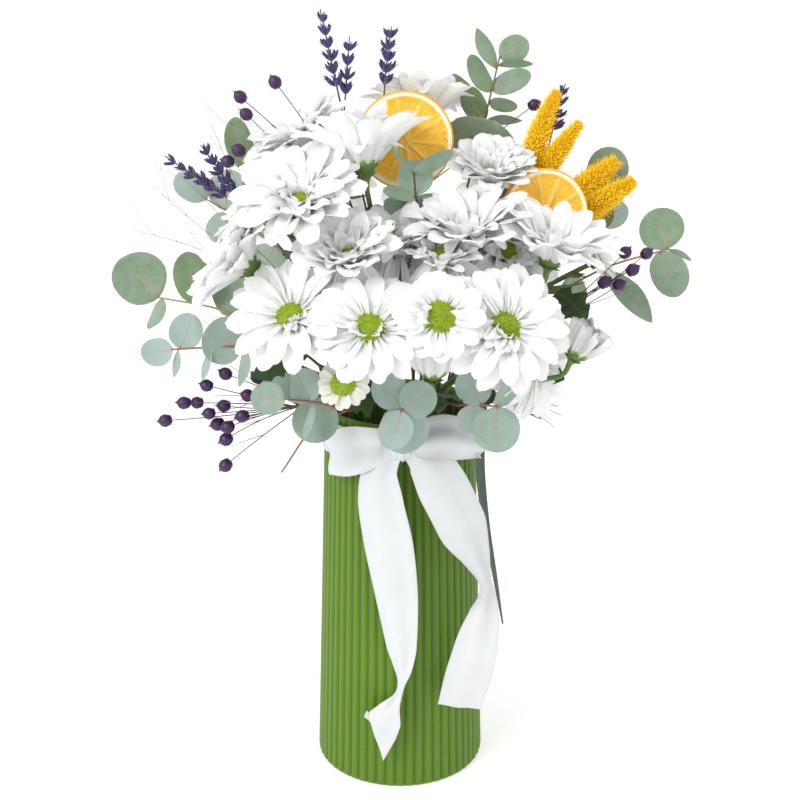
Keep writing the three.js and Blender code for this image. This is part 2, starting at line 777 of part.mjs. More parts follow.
// Eucalyptus: each stem is a list of paths, and each leaf runs from its foot to its tip.
const eucalyptus = {
  front: {
    paths: [[[5, -33, freshFoot], [5, -37, neckLevel], [3, -60, 268], [1, -84, 279], [1, -93, 277]]],
    leaves: [
      { root: [1, -91, 277], tip: [-11, -86, 299], width: 21 },
      { root: [1, -92, 277], tip: [20, -90, 289], width: 22 },
      { root: [1, -94, 276], tip: [-7, -99, 256], width: 20 },
      { root: [2, -86, 275], tip: [3, -82, 246], width: 28 },
    ],
  },
  front_right: {
    paths: [[[22, -27, freshFoot], [24, -30, neckLevel], [34, -58, 268], [47, -86, 278], [57, -89, 278]]],
    leaves: [
      { root: [47, -86, 278], tip: [39, -82, 300], width: 21 },
      { root: [55, -88, 279], tip: [71, -86, 292], width: 14, roll: 40 },
      { root: [56, -90, 277], tip: [57, -93, 251], width: 28 },
      { root: [44, -82, 274], tip: [42, -74, 256], width: 20 },
    ],
  },
  front_left: {
    paths: [
      [[-18, -29, freshFoot], [-20, -32, neckLevel], [-32, -62, 266], [-46, -80, 277], [-66, -90, 283]],
      [[-32, -62, 266], [-50, -64, 258], [-71, -74, 231]],
    ],
    leaves: [
      { root: [-66, -90, 283], tip: [-86, -92, 285], width: 19 },
      { root: [-64, -89, 283], tip: [-65, -91, 300], width: 13, roll: 72, outline: narrowOutline },
      { root: [-52, -84, 279], tip: [-60, -84, 299], width: 24 },
      { root: [-50, -85, 279], tip: [-56, -92, 259], width: 11, roll: 60, outline: narrowOutline },
      { root: [-38, -72, 271], tip: [-62, -78, 258], width: 27 },
    ],
  },
  left: {
    paths: [
      [[-30, -13, freshFoot], [-34, -15, neckLevel], [-64, -44, 290], [-92, -57, 304], [-134, -61, 304]],
    ],
    leaves: [
      { root: [-134, -61, 304], tip: [-153, -62, 302], width: 17 },
      { root: [-131, -62, 304], tip: [-134, -66, 288], width: 12, roll: 60, outline: narrowOutline },
      { root: [-130, -60, 304], tip: [-123, -54, 324], width: 20 },
      { root: [-112, -61, 304], tip: [-117, -66, 286], width: 12, roll: 60, outline: narrowOutline },
      { root: [-92, -60, 306], tip: [-116, -64, 313], width: 29 },
      { root: [-92, -59, 303], tip: [-95, -68, 283], width: 12, roll: 50, outline: narrowOutline },
      { root: [-80, -52, 298], tip: [-66, -60, 278], width: 20 },
    ],
  },
  left_high: {
    paths: [
      [[-32, -4, freshFoot], [-37, -4, neckLevel], [-72, -16, 296], [-108, -26, 318], [-147, -22, 325]],
    ],
    leaves: [
      { root: [-147, -22, 325], tip: [-170, -26, 349], width: 33 },
      { root: [-145, -23, 325], tip: [-153, -32, 308], width: 14, roll: 50 },
      { root: [-122, -28, 322], tip: [-129, -24, 354], width: 23 },
      { root: [-100, -22, 314], tip: [-112, -2, 338], width: 24 },
    ],
  },
  top_left: {
    paths: [
      [[-13, -3, freshFoot], [-15, -3, neckLevel], [-28, -8, 330], [-60, 8, 372], [-92, -4, 400]],
      [[-28, -8, 330], [-34, -24, 360], [-30, -38, 372]],
    ],
    leaves: [
      { root: [-92, -4, 400], tip: [-99, -6, 432], width: 17 },
      { root: [-31, -36, 371], tip: [-46, -42, 385], width: 18 },
      { root: [-30, -38, 372], tip: [-12, -44, 387], width: 9, roll: 50, outline: narrowOutline },
      { root: [-72, 6, 382], tip: [-98, 22, 388], width: 22 },
    ],
  },
  centre: {
    paths: [[[8, -13, freshFoot], [8, -14, neckLevel], [10, -26, 322], [11, -38, 364], [8, -46, 406]]],
    leaves: [
      { root: [8, -46, 406], tip: [-5, -54, 424], width: 7, roll: 55, outline: narrowOutline },
      { root: [8, -45, 405], tip: [30, -48, 419], width: 12, roll: 40 },
      { root: [9, -42, 392], tip: [7, -36, 412], width: 21 },
      { root: [9, -44, 391], tip: [-10, -52, 397], width: 9, roll: 30 },
      { root: [11, -40, 375], tip: [-9, -46, 390], width: 13 },
      { root: [11, -41, 373], tip: [27, -46, 380], width: 9, roll: 50 },
      { root: [10, -42, 390], tip: [26, -38, 380], width: 14 },
    ],
  },
  top_right: {
    paths: [
      [[11, 17, freshFoot], [13, 19, neckLevel], [32, 30, 340], [50, 30, 414], [61, 30, 463]],
    ],
    leaves: [
      { root: [60, 32, 456], tip: [47, 36, 480], width: 11, roll: 20, outline: narrowOutline },
      { root: [61, 30, 463], tip: [78, 27, 473], width: 17 },
      { root: [60, 29, 458], tip: [81, 22, 460], width: 8, roll: 50, outline: narrowOutline },
      { root: [52, 31, 430], tip: [32, 38, 452], width: 12, roll: 20 },
      { root: [52, 29, 424], tip: [40, 23, 446], width: 15 },
      { root: [56, 32, 442], tip: [43, 34, 464], width: 13, roll: 20 },
      { root: [57, 29, 443], tip: [80, 25, 454], width: 14 },
      { root: [55, 31, 436], tip: [73, 35, 432], width: 9, roll: 20 },
      { root: [52, 28, 424], tip: [75, 21, 426], width: 9, roll: 50, outline: narrowOutline },
      { root: [47, 29, 400], tip: [56, 6, 428], width: 44 },
      { root: [46, 30, 404], tip: [30, 20, 424], width: 18 },
    ],
  },
  right: {
    paths: [
      [[31, -4, freshFoot], [36, -4, neckLevel], [76, -8, 306], [122, -14, 340], [163, -13, 353]],
      [[76, -8, 306], [102, 8, 346], [124, 22, 384]],
    ],
    leaves: [
      { root: [163, -12, 353], tip: [155, -8, 377], width: 28 },
      { root: [158, -16, 353], tip: [169, -24, 326], width: 23 },
      { root: [163, -13, 353], tip: [178, -14, 346], width: 7, roll: 60, outline: narrowOutline },
      { root: [124, -17, 341], tip: [153, -32, 312], width: 15, outline: narrowOutline },
      { root: [124, 22, 384], tip: [135, 26, 408], width: 26 },
      { root: [112, 14, 364], tip: [132, 10, 374], width: 22 },
      { root: [98, -10, 326], tip: [118, 8, 318], width: 22 },
    ],
  },
  back_left: {
    paths: [
      [[-17, 24, freshFoot], [-20, 28, neckLevel], [-52, 60, 306], [-96, 78, 344], [-128, 74, 366]],
    ],
    leaves: [
      { root: [-128, 74, 366], tip: [-146, 66, 384], width: 22, face: [0, 1, 0.2] },
      { root: [-116, 76, 358], tip: [-112, 84, 384], width: 26, face: [0, 1, 0.2] },
      { root: [-112, 77, 355], tip: [-126, 86, 334], width: 24, face: [0, 1, 0.2] },
      { root: [-88, 76, 338], tip: [-88, 90, 364], width: 28, face: [0, 1, 0.3] },
      { root: [-84, 75, 334], tip: [-96, 88, 312], width: 26, face: [0, 1, 0.2] },
      { root: [-58, 63, 311], tip: [-48, 84, 290], width: 28, face: [0, 1, 0.1] },
      { root: [-44, 54, 300], tip: [-66, 46, 288], width: 26, face: [0, 1, 0.1] },
    ],
  },
  back_right: {
    paths: [[[16, 25, freshFoot], [19, 29, neckLevel], [50, 66, 304], [92, 82, 336], [128, 76, 352]]],
    leaves: [
      { root: [128, 76, 352], tip: [150, 68, 362], width: 23, face: [0, 1, 0.2] },
      { root: [116, 80, 346], tip: [118, 88, 372], width: 26, face: [0, 1, 0.2] },
      { root: [112, 80, 344], tip: [124, 90, 322], width: 24, face: [0, 1, 0.2] },
      { root: [88, 82, 334], tip: [92, 96, 360], width: 27, face: [0, 1, 0.3] },
      { root: [84, 81, 330], tip: [94, 96, 306], width: 28, face: [0, 1, 0.2] },
      { root: [56, 70, 308], tip: [46, 92, 288], width: 28, face: [0, 1, 0.1] },
      { root: [42, 58, 296], tip: [66, 52, 282], width: 26, face: [0, 1, 0.1] },
    ],
  },
};

function sprigPlaces(sprig) {
  return sprig.paths.map((path, i) => (i ? path.map(point) : stemPlaces(path, 2)));
}

for (const [name, sprig] of Object.entries(eucalyptus)) {
  addNode(
    `eucalyptus_${name}`,
    "foliage",
    colours.eucalyptus,
    (grow) => sprigPlaces(sprig).map((places, i) => (
      stem(places, twigRadius, 3, grow)
    )),
    (grow) => sprig.leaves.map((blade) => (
      leaf({ ...blade, root: nearestOn(sprigPlaces(sprig), blade.root) }, grow)
    )),
  );
}

// Flax: fine twigs from one stalk, each with a round seed head at its end.
const flax = {
  left: {
    stalk: [[-31, -20, dryFoot], [-35.6, -21.6, neckLevel], [-50, -44, 263], [-66, -54, 266]],
    heads: [[-104, -58, 288], [-115, -62, 282], [-86, -50, 283], [-91, -60, 275], [-129, -62, 271],
      [-122, -56, 269], [-114, -64, 265], [-106, -56, 267], [-141, -60, 259], [-94, -66, 264],
      [-110, -58, 256], [-103, -66, 257], [-105, -60, 247], [-106, -60, 230]],
  },
  right: {
    stalk: [[29, -15, dryFoot], [32, -13, neckLevel], [70, -34, 300], [102, -44, 326]],
    heads: [[133, -42, 358], [146, -40, 357], [137, -48, 349], [121, -46, 341], [130, -44, 339]],
  },
  top: {
    stalk: [[-6, 14, dryFoot], [-7, 16, neckLevel], [-12, 20, 320], [-34, 14, 384]],
    heads: [[-74, -8, 453], [-95, -6, 444], [-91, -14, 435], [-96, -16, 414], [-103, -14, 407],
      [82, 18, 436]],
  },
};

// The heads that stand out most from the stalk's direction leave it first, so that the
// twigs fan out without crossing.
function flaxTwigs(bunch, grow) {
  const stalk = stemPlaces(bunch.stalk, 2);
  const [before, end] = stalk.slice(-2);
  const along = end.clone().sub(before);
  const ordered = bunch.heads.map(point).sort((a, b) => (
    along.angleTo(b.clone().sub(end)) - along.angleTo(a.clone().sub(end))
  ));
  const parts = [stem(stalk, 1.2, 4, grow)];
  ordered.forEach((head, i) => {
    const fork = before.clone().lerp(end, (i + 1) / ordered.length);
    parts.push(stem([fork, head], fineTwigRadius, 3, grow));
  });
  return parts;
}

function flaxHeads(bunch, grow) {
  return bunch.heads.map((head) => {
    const ball = new THREE.IcosahedronGeometry(flaxHeadRadius + grow, 0);
    ball.translate(...head);
    return ball;
  });
}

for (const [name, bunch] of Object.entries(flax)) {
  addNode(
    `flax_${name}`,
    "dried",
    colours.flax,
    (grow) => flaxTwigs(bunch, grow),
    (grow) => flaxHeads(bunch, grow),
  );
}

// Lavender: one or two spikes on a thin stalk. The lower part of a spike is bare.
const spikeBare = 0.3;
const spikeCore = 1;
const budReach = 4.4;
const lavender = {
  top_left: {
    stalk: [[-3, 7, dryFoot], [-1.6, 3.1, neckLevel], [-16, 8, 350], [-34, 4, 430]],
    spikes: [
      { from: [-34, 4, 430], to: [-47, 2, 494], whorls: 6 },
      { from: [-34, 4, 430], to: [-30, 6, 478], whorls: 4 },
    ],
  },
  top: {
    stalk: [[-2, 15, dryFoot], [-4.7, 15.5, neckLevel], [0, 10, 360], [-10, 4, 436]],
    spikes: [{ from: [-10, 4, 436], to: [-5, 2, 484], whorls: 5 }],
  },
  left: {
    stalk: [[-30, 2, dryFoot], [-42, 3, neckLevel], [-62, 8, 330], [-92, 2, 372]],
    spikes: [
      { from: [-92, 2, 372], to: [-141, -8, 409], whorls: 6 },
      { from: [-92, 2, 372], to: [-120, -4, 415], whorls: 5 },
    ],
  },
  right: {
    stalk: [[24, 13, dryFoot], [29.6, 8.3, neckLevel], [62, 26, 350], [92, 24, 408]],
    spikes: [{ from: [92, 24, 408], to: [101, 22, 448], whorls: 4 }],
  },
};

// A spike is a loft: a thin stalk, then whorls of three buds that point up and outwards.
function lavenderSpike({ from, to, whorls }, grow) {
  const start = point(from);
  const along = point(to).sub(start);
  const direction = along.clone().normalize();
  const side = new THREE.Vector3(0, 1, 0).cross(direction).normalize();
  const other = new THREE.Vector3().crossVectors(direction, side);
  const ringAt = (part, reachOf) => {
    const ring = [];
    for (let j = 0; j < 6; j += 1) {
      const turn = (Math.PI * j) / 3;
      const reach = reachOf(j) + grow;
      ring.push(start.clone().addScaledVector(along, part)
        .addScaledVector(side, reach * Math.cos(turn))
        .addScaledVector(other, reach * Math.sin(turn)));
    }
    return ring;
  };
  const sections = [ringAt(0, () => spikeCore)];
  const pitch = (1 - spikeBare) / whorls;
  for (let i = 0; i < whorls; i += 1) {
    const part = spikeBare + i * pitch;
    const taper = 1 - (0.4 * i) / whorls;
    sections.push(ringAt(part, () => spikeCore));
    sections.push(ringAt(part + 0.7 * pitch, (j) => (
      (i + j) % 2 ? spikeCore + 0.5 : budReach * taper
    )));
  }
  sections.push(ringAt(1, () => 0.7));
  return loft(sections);
}

for (const [name, sprig] of Object.entries(lavender)) {
  addNode(
    `lavender_${name}`,
    "dried",
    colours.lavender,
    (grow) => [stem(stemPlaces(sprig.stalk, 2), 0.9, 4, grow)],
    (grow) => sprig.spikes.map((spike) => lavenderSpike(spike, grow)),
  );
}

// Foxtails: a bristly head, raised by a formula, at the end of each stalk of a pair.
const foxtailBare = 0.2;
const foxtails = {
  inner: {
    stalk: [[21, 2, dryFoot], [23, 1, neckLevel], [54, -2, 340], [70, -4, 374]],
    heads: [
      { from: [70, -4, 374], to: [95, 10, 446], radius: 6.4 },
      { from: [67, -4, 368], to: [109, 2, 428], radius: 6.2 },
    ],
  },
  outer: {
    stalk: [[26, 9, dryFoot], [30.2, 6.2, neckLevel], [66, 6, 330], [86, 2, 362]],
    heads: [
      { from: [86, 2, 362], to: [134, 12, 403], radius: 6.6 },
      { from: [82, 2, 357], to: [143, 0, 393], radius: 6.6 },
    ],
  },
};

function foxtailHead({ from, to, radius }, grow) {
  const start = point(from);
  const along = point(to).sub(start);
  const direction = along.clone().normalize();
  const side = new THREE.Vector3(0, 1, 0).cross(direction).normalize();
  const other = new THREE.Vector3().crossVectors(direction, side);
  const rings = 8;
  const spokes = 6;
  const ringAt = (part, reachOf) => {
    const ring = [];
    for (let j = 0; j < spokes; j += 1) {
      const turn = (2 * Math.PI * j) / spokes;
      const reach = reachOf(j) + grow;
      ring.push(start.clone().addScaledVector(along, part)
        .addScaledVector(side, reach * Math.cos(turn))
        .addScaledVector(other, reach * Math.sin(turn)));
    }
    return ring;
  };
  const sections = [ringAt(0, () => 1), ringAt(foxtailBare, () => 1)];
  for (let i = 0; i <= rings; i += 1) {
    const taper = Math.sin(Math.PI * (0.14 + (0.8 * i) / rings)) ** 0.6;
    const part = foxtailBare + 0.03 + ((0.97 - foxtailBare) * i) / rings;
    sections.push(ringAt(part, (j) => radius * taper * ((i + j) % 2 ? 1 : 0.72)));
  }
  return loft(sections);
}

for (const [name, pair] of Object.entries(foxtails)) {
  addNode(
    `foxtail_${name}`,
    "dried",
    colours.foxtail,
    (grow) => [stem(stemPlaces(pair.stalk, 2), 1.2, 4, grow)],
    (grow) => pair.heads.map((head) => foxtailHead(head, grow)),
  );
}

// One drooping blade of grass hangs over the rim on the right.
const grassPath = [
  { at: [30, -7, dryFoot], across: [0, 1, 0], width: 2.4 },
  { at: [40.2, -10.4, neckLevel - 4], across: [0, 1, 0], width: 2.6 },
  { at: [44, -15, 259], across: [0.3, 1, 0], width: 3 },
  { at: [50, -22, 262], across: [0.4, 1, 0], width: 3.4 },
  { at: [55, -27, 250], across: [0.4, 1, 0], width: 3.6 },
  { at: [57.5, -28, 222], across: [0.4, 1, 0], width: 3.6 },
  { at: [61, -26, 180], across: [0.4, 1, 0], width: 3 },
  { at: [65, -22, 140], across: [0.4, 1, 0], width: 2 },
  { at: [68, -17, 100], across: [0.4, 1, 0], width: 1 },
];
addNode("grass_blade", "foliage", colours.grass, (grow) => [strip(grassPath, 0.9, grow)]);

addNode(
  "water",
  "holder",
  colours.water,
  () => {
    const body = solidOf(turned(waterProfile, 24, new THREE.Vector3(), new THREE.Vector3(0, 0, 1)));
    const standing = plants
      .filter((plant) => !["holder"].includes(plant.group))
      .map((plant) => unite(plant.firm(clearance)))
      .filter((solid) => boxesMeet(solid.boundingBox(), body.boundingBox()));
    return [geometryOf(wasm.Manifold.difference([body, ...standing]))];
  },
);

settle();

// The scene graph: one named mesh for each node, in a group for each kind of piece.
const bouquet = new THREE.Group();
const groups = {};
for (const plant of plants) {
  if (!groups[plant.group]) {
    groups[plant.group] = new THREE.Group();
    groups[plant.group].name = `group_${plant.group}`;
    bouquet.add(groups[plant.group]);
  }
  const material = new THREE.MeshStandardMaterial({
    color: plant.colour,
    roughness: plant.name === "ribbon" ? 0.4 : 0.7,
    metalness: 0,
    flatShading: true,
  });
  const mesh = new THREE.Mesh(geometryOf(plant.solid), material);
  mesh.name = plant.name;
  groups[plant.group].add(mesh);
}

export default bouquet;
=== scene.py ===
# A daisy bouquet in a ribbed vase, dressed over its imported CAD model.
import functools
import json
import math
import random
import bmesh
import bpy
from mathutils import Matrix, Quaternion, Vector

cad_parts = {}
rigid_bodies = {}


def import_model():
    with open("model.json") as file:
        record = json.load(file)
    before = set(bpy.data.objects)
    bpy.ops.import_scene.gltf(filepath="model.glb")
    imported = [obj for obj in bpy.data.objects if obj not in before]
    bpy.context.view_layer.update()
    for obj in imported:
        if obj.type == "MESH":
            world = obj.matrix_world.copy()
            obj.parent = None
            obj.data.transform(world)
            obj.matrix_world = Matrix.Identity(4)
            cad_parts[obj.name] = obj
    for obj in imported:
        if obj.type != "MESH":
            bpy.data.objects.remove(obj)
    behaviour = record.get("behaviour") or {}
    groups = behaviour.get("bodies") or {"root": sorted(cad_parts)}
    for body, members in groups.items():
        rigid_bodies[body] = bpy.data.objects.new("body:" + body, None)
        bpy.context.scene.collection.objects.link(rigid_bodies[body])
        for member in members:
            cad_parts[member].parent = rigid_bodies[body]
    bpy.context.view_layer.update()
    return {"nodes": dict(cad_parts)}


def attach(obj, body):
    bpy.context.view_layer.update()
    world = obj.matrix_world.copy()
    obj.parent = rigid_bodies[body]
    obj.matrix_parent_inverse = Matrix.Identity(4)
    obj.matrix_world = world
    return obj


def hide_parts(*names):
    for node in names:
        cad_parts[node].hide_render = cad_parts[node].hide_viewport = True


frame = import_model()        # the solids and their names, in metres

scene = bpy.context.scene
mm = 0.001
fullTurn = 2 * math.pi
goldenTurn = 2.39996                  # the angle between neighbours in a sunflower spiral

view = {"place": (0.0, -0.907, 0.567), "tiltDown": 19.2, "lens": 67.5, "sensor": 36.0}
studio = {
    "world": 0.93,                     # soft light from all round
    "floorSize": 14.0,
    "lamps": {                         # place, width and power in watts
        "key": ((-1.35, -1.4, 1.6), 1.0, 30.0),
        "fill": ((1.5, -1.3, 0.9), 1.2, 1.5),
        "back": ((0.6, 1.6, 1.5), 1.0, 6.0),
    },
    "aim": (0.0, 0.0, 0.25),           # the middle of the bouquet
}


def linear(hexColour):
    # an sRGB hex value as the linear colour that a shader takes
    channels = [int(hexColour[i:i + 2], 16) / 255 for i in (1, 3, 5)]
    return tuple(c / 12.92 if c <= 0.04045 else ((c + 0.055) / 1.055) ** 2.4
                 for c in channels) + (1.0,)


def placed(name, data):
    piece = bpy.data.objects.new(name, data)
    scene.collection.objects.link(piece)
    return piece


cameraData = bpy.data.cameras.new("camera")
cameraData.lens = view["lens"]
cameraData.sensor_width = view["sensor"]
camera = placed("camera", cameraData)
camera.location = view["place"]
camera.rotation_euler = (math.radians(90 - view["tiltDown"]), 0.0, 0.0)
bpy.context.scene.camera = camera

for lampName, (place, width, power) in studio["lamps"].items():
    lampData = bpy.data.lights.new(lampName, "AREA")
    lampData.size = width
    lampData.energy = power
    lamp = placed(lampName, lampData)
    lamp.location = place
    lamp.rotation_euler = (Vector(studio["aim"]) - Vector(place)).to_track_quat("-Z", "Y").to_euler()

world = bpy.data.worlds.new("studio")
world.use_nodes = True
world.node_tree.nodes["Background"].inputs["Color"].default_value = linear("#FFFFFF")
world.node_tree.nodes["Background"].inputs["Strength"].default_value = studio["world"]
scene.world = world
scene.view_settings.view_transform = "Standard"
print("camera and light ready")


def connect(tree, value, socket):
    # a socket takes a value, a hex colour, one output of a node, or a node's first live output
    if isinstance(value, bpy.types.Node):
        value = next(output for output in value.outputs if output.enabled)
    if isinstance(value, bpy.types.NodeSocket):
        tree.links.new(value, socket)
    elif isinstance(value, str) and value.startswith("#"):
        socket.default_value = linear(value)
    else:
        socket.default_value = value


def addNode(tree, kind, inputs=(), **settings):
    # a node with its settings, found by its plain name; inputs are named, or in their order
    full = next(family + kind for family in ("GeometryNode", "FunctionNode", "ShaderNode", "Node")
                if hasattr(bpy.types, family + kind))
    node = tree.nodes.new(full)
    for name, value in settings.items():
        setattr(node, name, value)
    for name, value in inputs.items() if isinstance(inputs, dict) else enumerate(inputs):
        connect(tree, value, node.inputs[name])
    return node


def startMaterial(name, sockets):
    # a material whose plain numbers and colours stand on the shader's own sockets
    material = bpy.data.materials.new(name)
    material.use_nodes = True
    for socket, value in sockets.items():
        connect(material.node_tree, value, material.node_tree.nodes["Principled BSDF"].inputs[socket])
    return material, functools.partial(addNode, material.node_tree)


def finishMaterial(material, links, height=None, strength=0.0, distance=0.0):
    # what the nodes give reaches the shader: colour or roughness, and the fine relief
    tree = material.node_tree
    if height:
        relief = {"Height": height, "Strength": strength, "Distance": distance}
        links = {**links, "Normal": addNode(tree, "Bump", relief)}
    for socket, node in links.items():
        connect(tree, node, tree.nodes["Principled BSDF"].inputs[socket])
    return material


# A pale floor sheet that glows with its own emission though it is no lamp: this painted glow
# keeps the floor evenly white and lifts the shadow at the foot of the vase, so it stays soft and pale.
def selfLitFloorSheet():
    material, add = startMaterial("self-lit floor sheet", {
        "Roughness": 0.85, "Emission Color": "#FFFFFF", "Emission Strength": 0.42,
    })
    cloud = add("TexNoise", {"Vector": add("TexCoord").outputs["Object"], "Scale": 3.0})
    paint = add("Mix", {0: cloud, 6: "#D2D2D2", 7: "#D8D8D8"}, data_type="RGBA")
    return finishMaterial(material, {"Base Color": paint})


# Earthenware with a sprayed satin glaze: the glaze is thin and light on the crest of each
# rib and darker in the grooves, partly pooled glaze and partly painted shade, with a soft,
# broken highlight down each crest.
def glazedEarthenware():
    material, add = startMaterial("satin glazed earthenware", {
        "Specular IOR Level": 0.32, "Coat Weight": 0.04, "Coat Roughness": 0.3,
    })
    place = add("TexCoord").outputs["Object"]
    cloud = add("TexNoise", {"Vector": place, "Scale": 22.0, "Detail": 3.0})       # patches of 45 mm
    glaze = add("Mix", {0: cloud, 6: "#54790F", 7: "#608418"}, data_type="RGBA")
    groove = add("Attribute", attribute_name="groove").outputs["Fac"]
    # painted shade: the grooves darken, partly as pooled glaze and partly as shade painted into them
    pooledGlazeAndShade = add("Math", (groove, 0.6), operation="MULTIPLY")
    colour = add("Mix", {0: pooledGlazeAndShade, 6: glaze, 7: "#2C480A"}, data_type="RGBA")
    specks = add("TexNoise", {"Vector": place, "Scale": 420.0, "Detail": 1.0})     # kiln specks of 2 mm
    speck = add("MapRange", {"Value": specks, "From Min": 0.76, "From Max": 0.8, "To Max": 0.6})
    marked = add("Mix", {0: speck, 6: colour, 7: "#2E4A16"}, data_type="RGBA")
    gloss = add("MapRange", {"Value": cloud, "To Min": 0.4, "To Max": 0.56})
    grain = add("TexNoise", {"Vector": place, "Scale": 900.0, "Detail": 2.0})      # orange peel of 1 mm
    return finishMaterial(material, {"Base Color": marked, "Roughness": gloss}, grain, 0.18, 0.0002)


# Woven polyester satin ribbon: smooth long floats give a soft sheen along the ribbon. Real
# threads are 0.1 mm apart; they are drawn 0.7 mm apart, or they wouldn't show.
def satinRibbon():
    material, add = startMaterial("woven polyester satin", {
        "Roughness": 0.42, "Anisotropic": 0.35, "Sheen Weight": 0.35, "Sheen Roughness": 0.4,
        "Subsurface Weight": 0.06, "Subsurface Scale": 0.002,
    })
    own = add("UVMap")
    threads = add("TexWave", {
        "Vector": own, "Scale": 230.0, "Distortion": 1.2, "Detail": 2.0, "Detail Scale": 1.0,
    }, wave_type="BANDS", bands_direction="X")
    reach = add("Math", (add("SeparateXYZ", (own,)).outputs["X"],), operation="ABSOLUTE")
    selvedge = add("MapRange", {"Value": reach, "From Min": 0.0148, "From Max": 0.0162})
    cloud = add("TexNoise", {"Vector": own, "Scale": 60.0})
    white = add("Mix", {0: cloud, 6: "#CACDCF", 7: "#D4D6D8"}, data_type="RGBA")
    under = add("Attribute", attribute_name="under").outputs["Fac"]
    sided = add("Mix", {0: under, 6: white, 7: "#CBC6BF"}, data_type="RGBA")
    edged = add("Mix", {0: selvedge, 6: sided, 7: "#C8C8C7"}, data_type="RGBA")
    return finishMaterial(material, {"Base Color": edged}, threads.outputs["Fac"], 0.1, 0.0001)


# A ray floret is thin, wet tissue: it lets light through, is greenish where it is folded
# at its foot, and has fine ribs along it, 1 mm apart. Its back is a little greyer.
def petalTissue(name, face, foot, back):
    material, add = startMaterial(name, {
        "Roughness": 0.55, "Subsurface Weight": 0.4, "Subsurface Scale": 0.004,
        "Subsurface Radius": (1.0, 1.0, 0.85), "Sheen Weight": 0.1,
    })
    own = add("UVMap")
    near = add("MapRange", {
        "Value": add("SeparateXYZ", (own,)).outputs["Y"],
        "From Min": 0.02, "From Max": 0.22, "To Min": 0.8, "To Max": 0.0,
    })
    under = add("Attribute", attribute_name="under").outputs["Fac"]
    side = add("Mix", {0: under, 6: face, 7: back}, data_type="RGBA")
    colour = add("Mix", {0: near, 6: side, 7: foot}, data_type="RGBA")
    ribs = add("TexWave", {
        "Vector": own, "Scale": 3.4, "Distortion": 0.7, "Detail": 2.0,
    }, wave_type="BANDS", bands_direction="X")
    return finishMaterial(material, {"Base Color": colour}, ribs.outputs["Fac"], 0.35, 0.0003)


# The disc florets are tiny waxy tubes: deep green in the middle, lime towards the rim.
def discTissue():
    material, add = startMaterial("disc florets", {
        "Roughness": 0.5, "Subsurface Weight": 0.15, "Subsurface Scale": 0.001,
    })
    tint = add("Attribute", attribute_name="tint").outputs["Fac"]
    cloud = add("TexNoise", {"Vector": add("TexCoord").outputs["Object"], "Scale": 700.0, "Detail": 1.0})
    part = add("Math", (tint, cloud), operation="MULTIPLY")
    colour = add("Mix", {0: part, 6: "#7C9C0C", 7: "#B9CC1E"}, data_type="RGBA")
    return finishMaterial(material, {"Base Color": colour}, cloud, 0.4, 0.0003)


# Fresh herbaceous stem: ridged, matt, with paler streaks along it.
def freshStem():
    material, add = startMaterial("fresh green stem", {"Roughness": 0.55})
    stretched = add("Mapping", {
        "Vector": add("TexCoord").outputs["Object"], "Scale": (900.0, 900.0, 60.0),  # streaks of 1 by 16 mm
    })
    streaks = add("TexNoise", {"Vector": stretched, "Scale": 1.0})
    colour = add("Mix", {0: streaks, 6: "#3B5A26", 7: "#6C9044"}, data_type="RGBA")
    return finishMaterial(material, {"Base Color": colour}, streaks, 0.35, 0.0004)


# A leaf blade with a midrib and side veins along its own UV map. Its tint runs from the
# first colour to the second, its underside is paler, and a wax bloom breaks up its gloss.
def leafBlade(name, first, second, back, rib, roughness, veins, bloom):
    material, add = startMaterial(name, {
        "Roughness": roughness, "Subsurface Weight": 0.06, "Subsurface Scale": 0.001,
        "Sheen Weight": bloom, "Sheen Roughness": 0.5,
    })
    axes = add("SeparateXYZ", (add("UVMap"),)).outputs
    offset = add("Math", (axes["X"], 0.5), operation="SUBTRACT")
    reach = add("Math", (offset,), operation="ABSOLUTE")
    midrib = add("MapRange", {
        "Value": reach, "From Min": 0.008, "From Max": 0.035, "To Min": 1.0, "To Max": 0.0,
    })
    slant = add("Math", (reach, -0.8, axes["Y"]), operation="MULTIPLY_ADD")
    wave = add("Math", (slant, veins), operation="MULTIPLY")
    ripple = add("Math", (wave,), operation="SINE")
    vein = add("MapRange", {"Value": ripple, "From Min": 0.86, "From Max": 1.0, "To Max": 0.15})
    cloud = add("TexNoise", {
        "Vector": add("TexCoord").outputs["Object"], "Scale": 170.0, "Detail": 4.0,  # wax patches of 6 mm
    })
    patch = add("MapRange", {
        "Value": cloud, "From Min": 0.35, "From Max": 0.7, "To Min": -0.14, "To Max": 0.14,
    })
    tint = add("Attribute", attribute_name="tint").outputs["Fac"]
    shade = add("Math", (tint, patch), operation="ADD", use_clamp=True)
    blade = add("Mix", {0: shade, 6: first, 7: second}, data_type="RGBA")
    under = add("Attribute", attribute_name="under").outputs["Fac"]
    paler = add("Math", (under, 0.6), operation="MULTIPLY")
    turned = add("Mix", {0: paler, 6: blade, 7: back}, data_type="RGBA")
    veined = add("Mix", {0: vein, 6: turned, 7: back}, data_type="RGBA")
    fade = add("MapRange", {
        "Value": axes["Y"], "From Min": 0.0, "From Max": 0.75, "To Min": 0.95, "To Max": 0.25,
    })
    ribbed = add("Math", (midrib, fade), operation="MULTIPLY")
    colour = add("Mix", {0: ribbed, 6: veined, 7: rib}, data_type="RGBA")
    relief = add("Math", (vein, midrib), operation="ADD")
    return finishMaterial(material, {"Base Color": colour}, relief, 0.4, 0.0004)


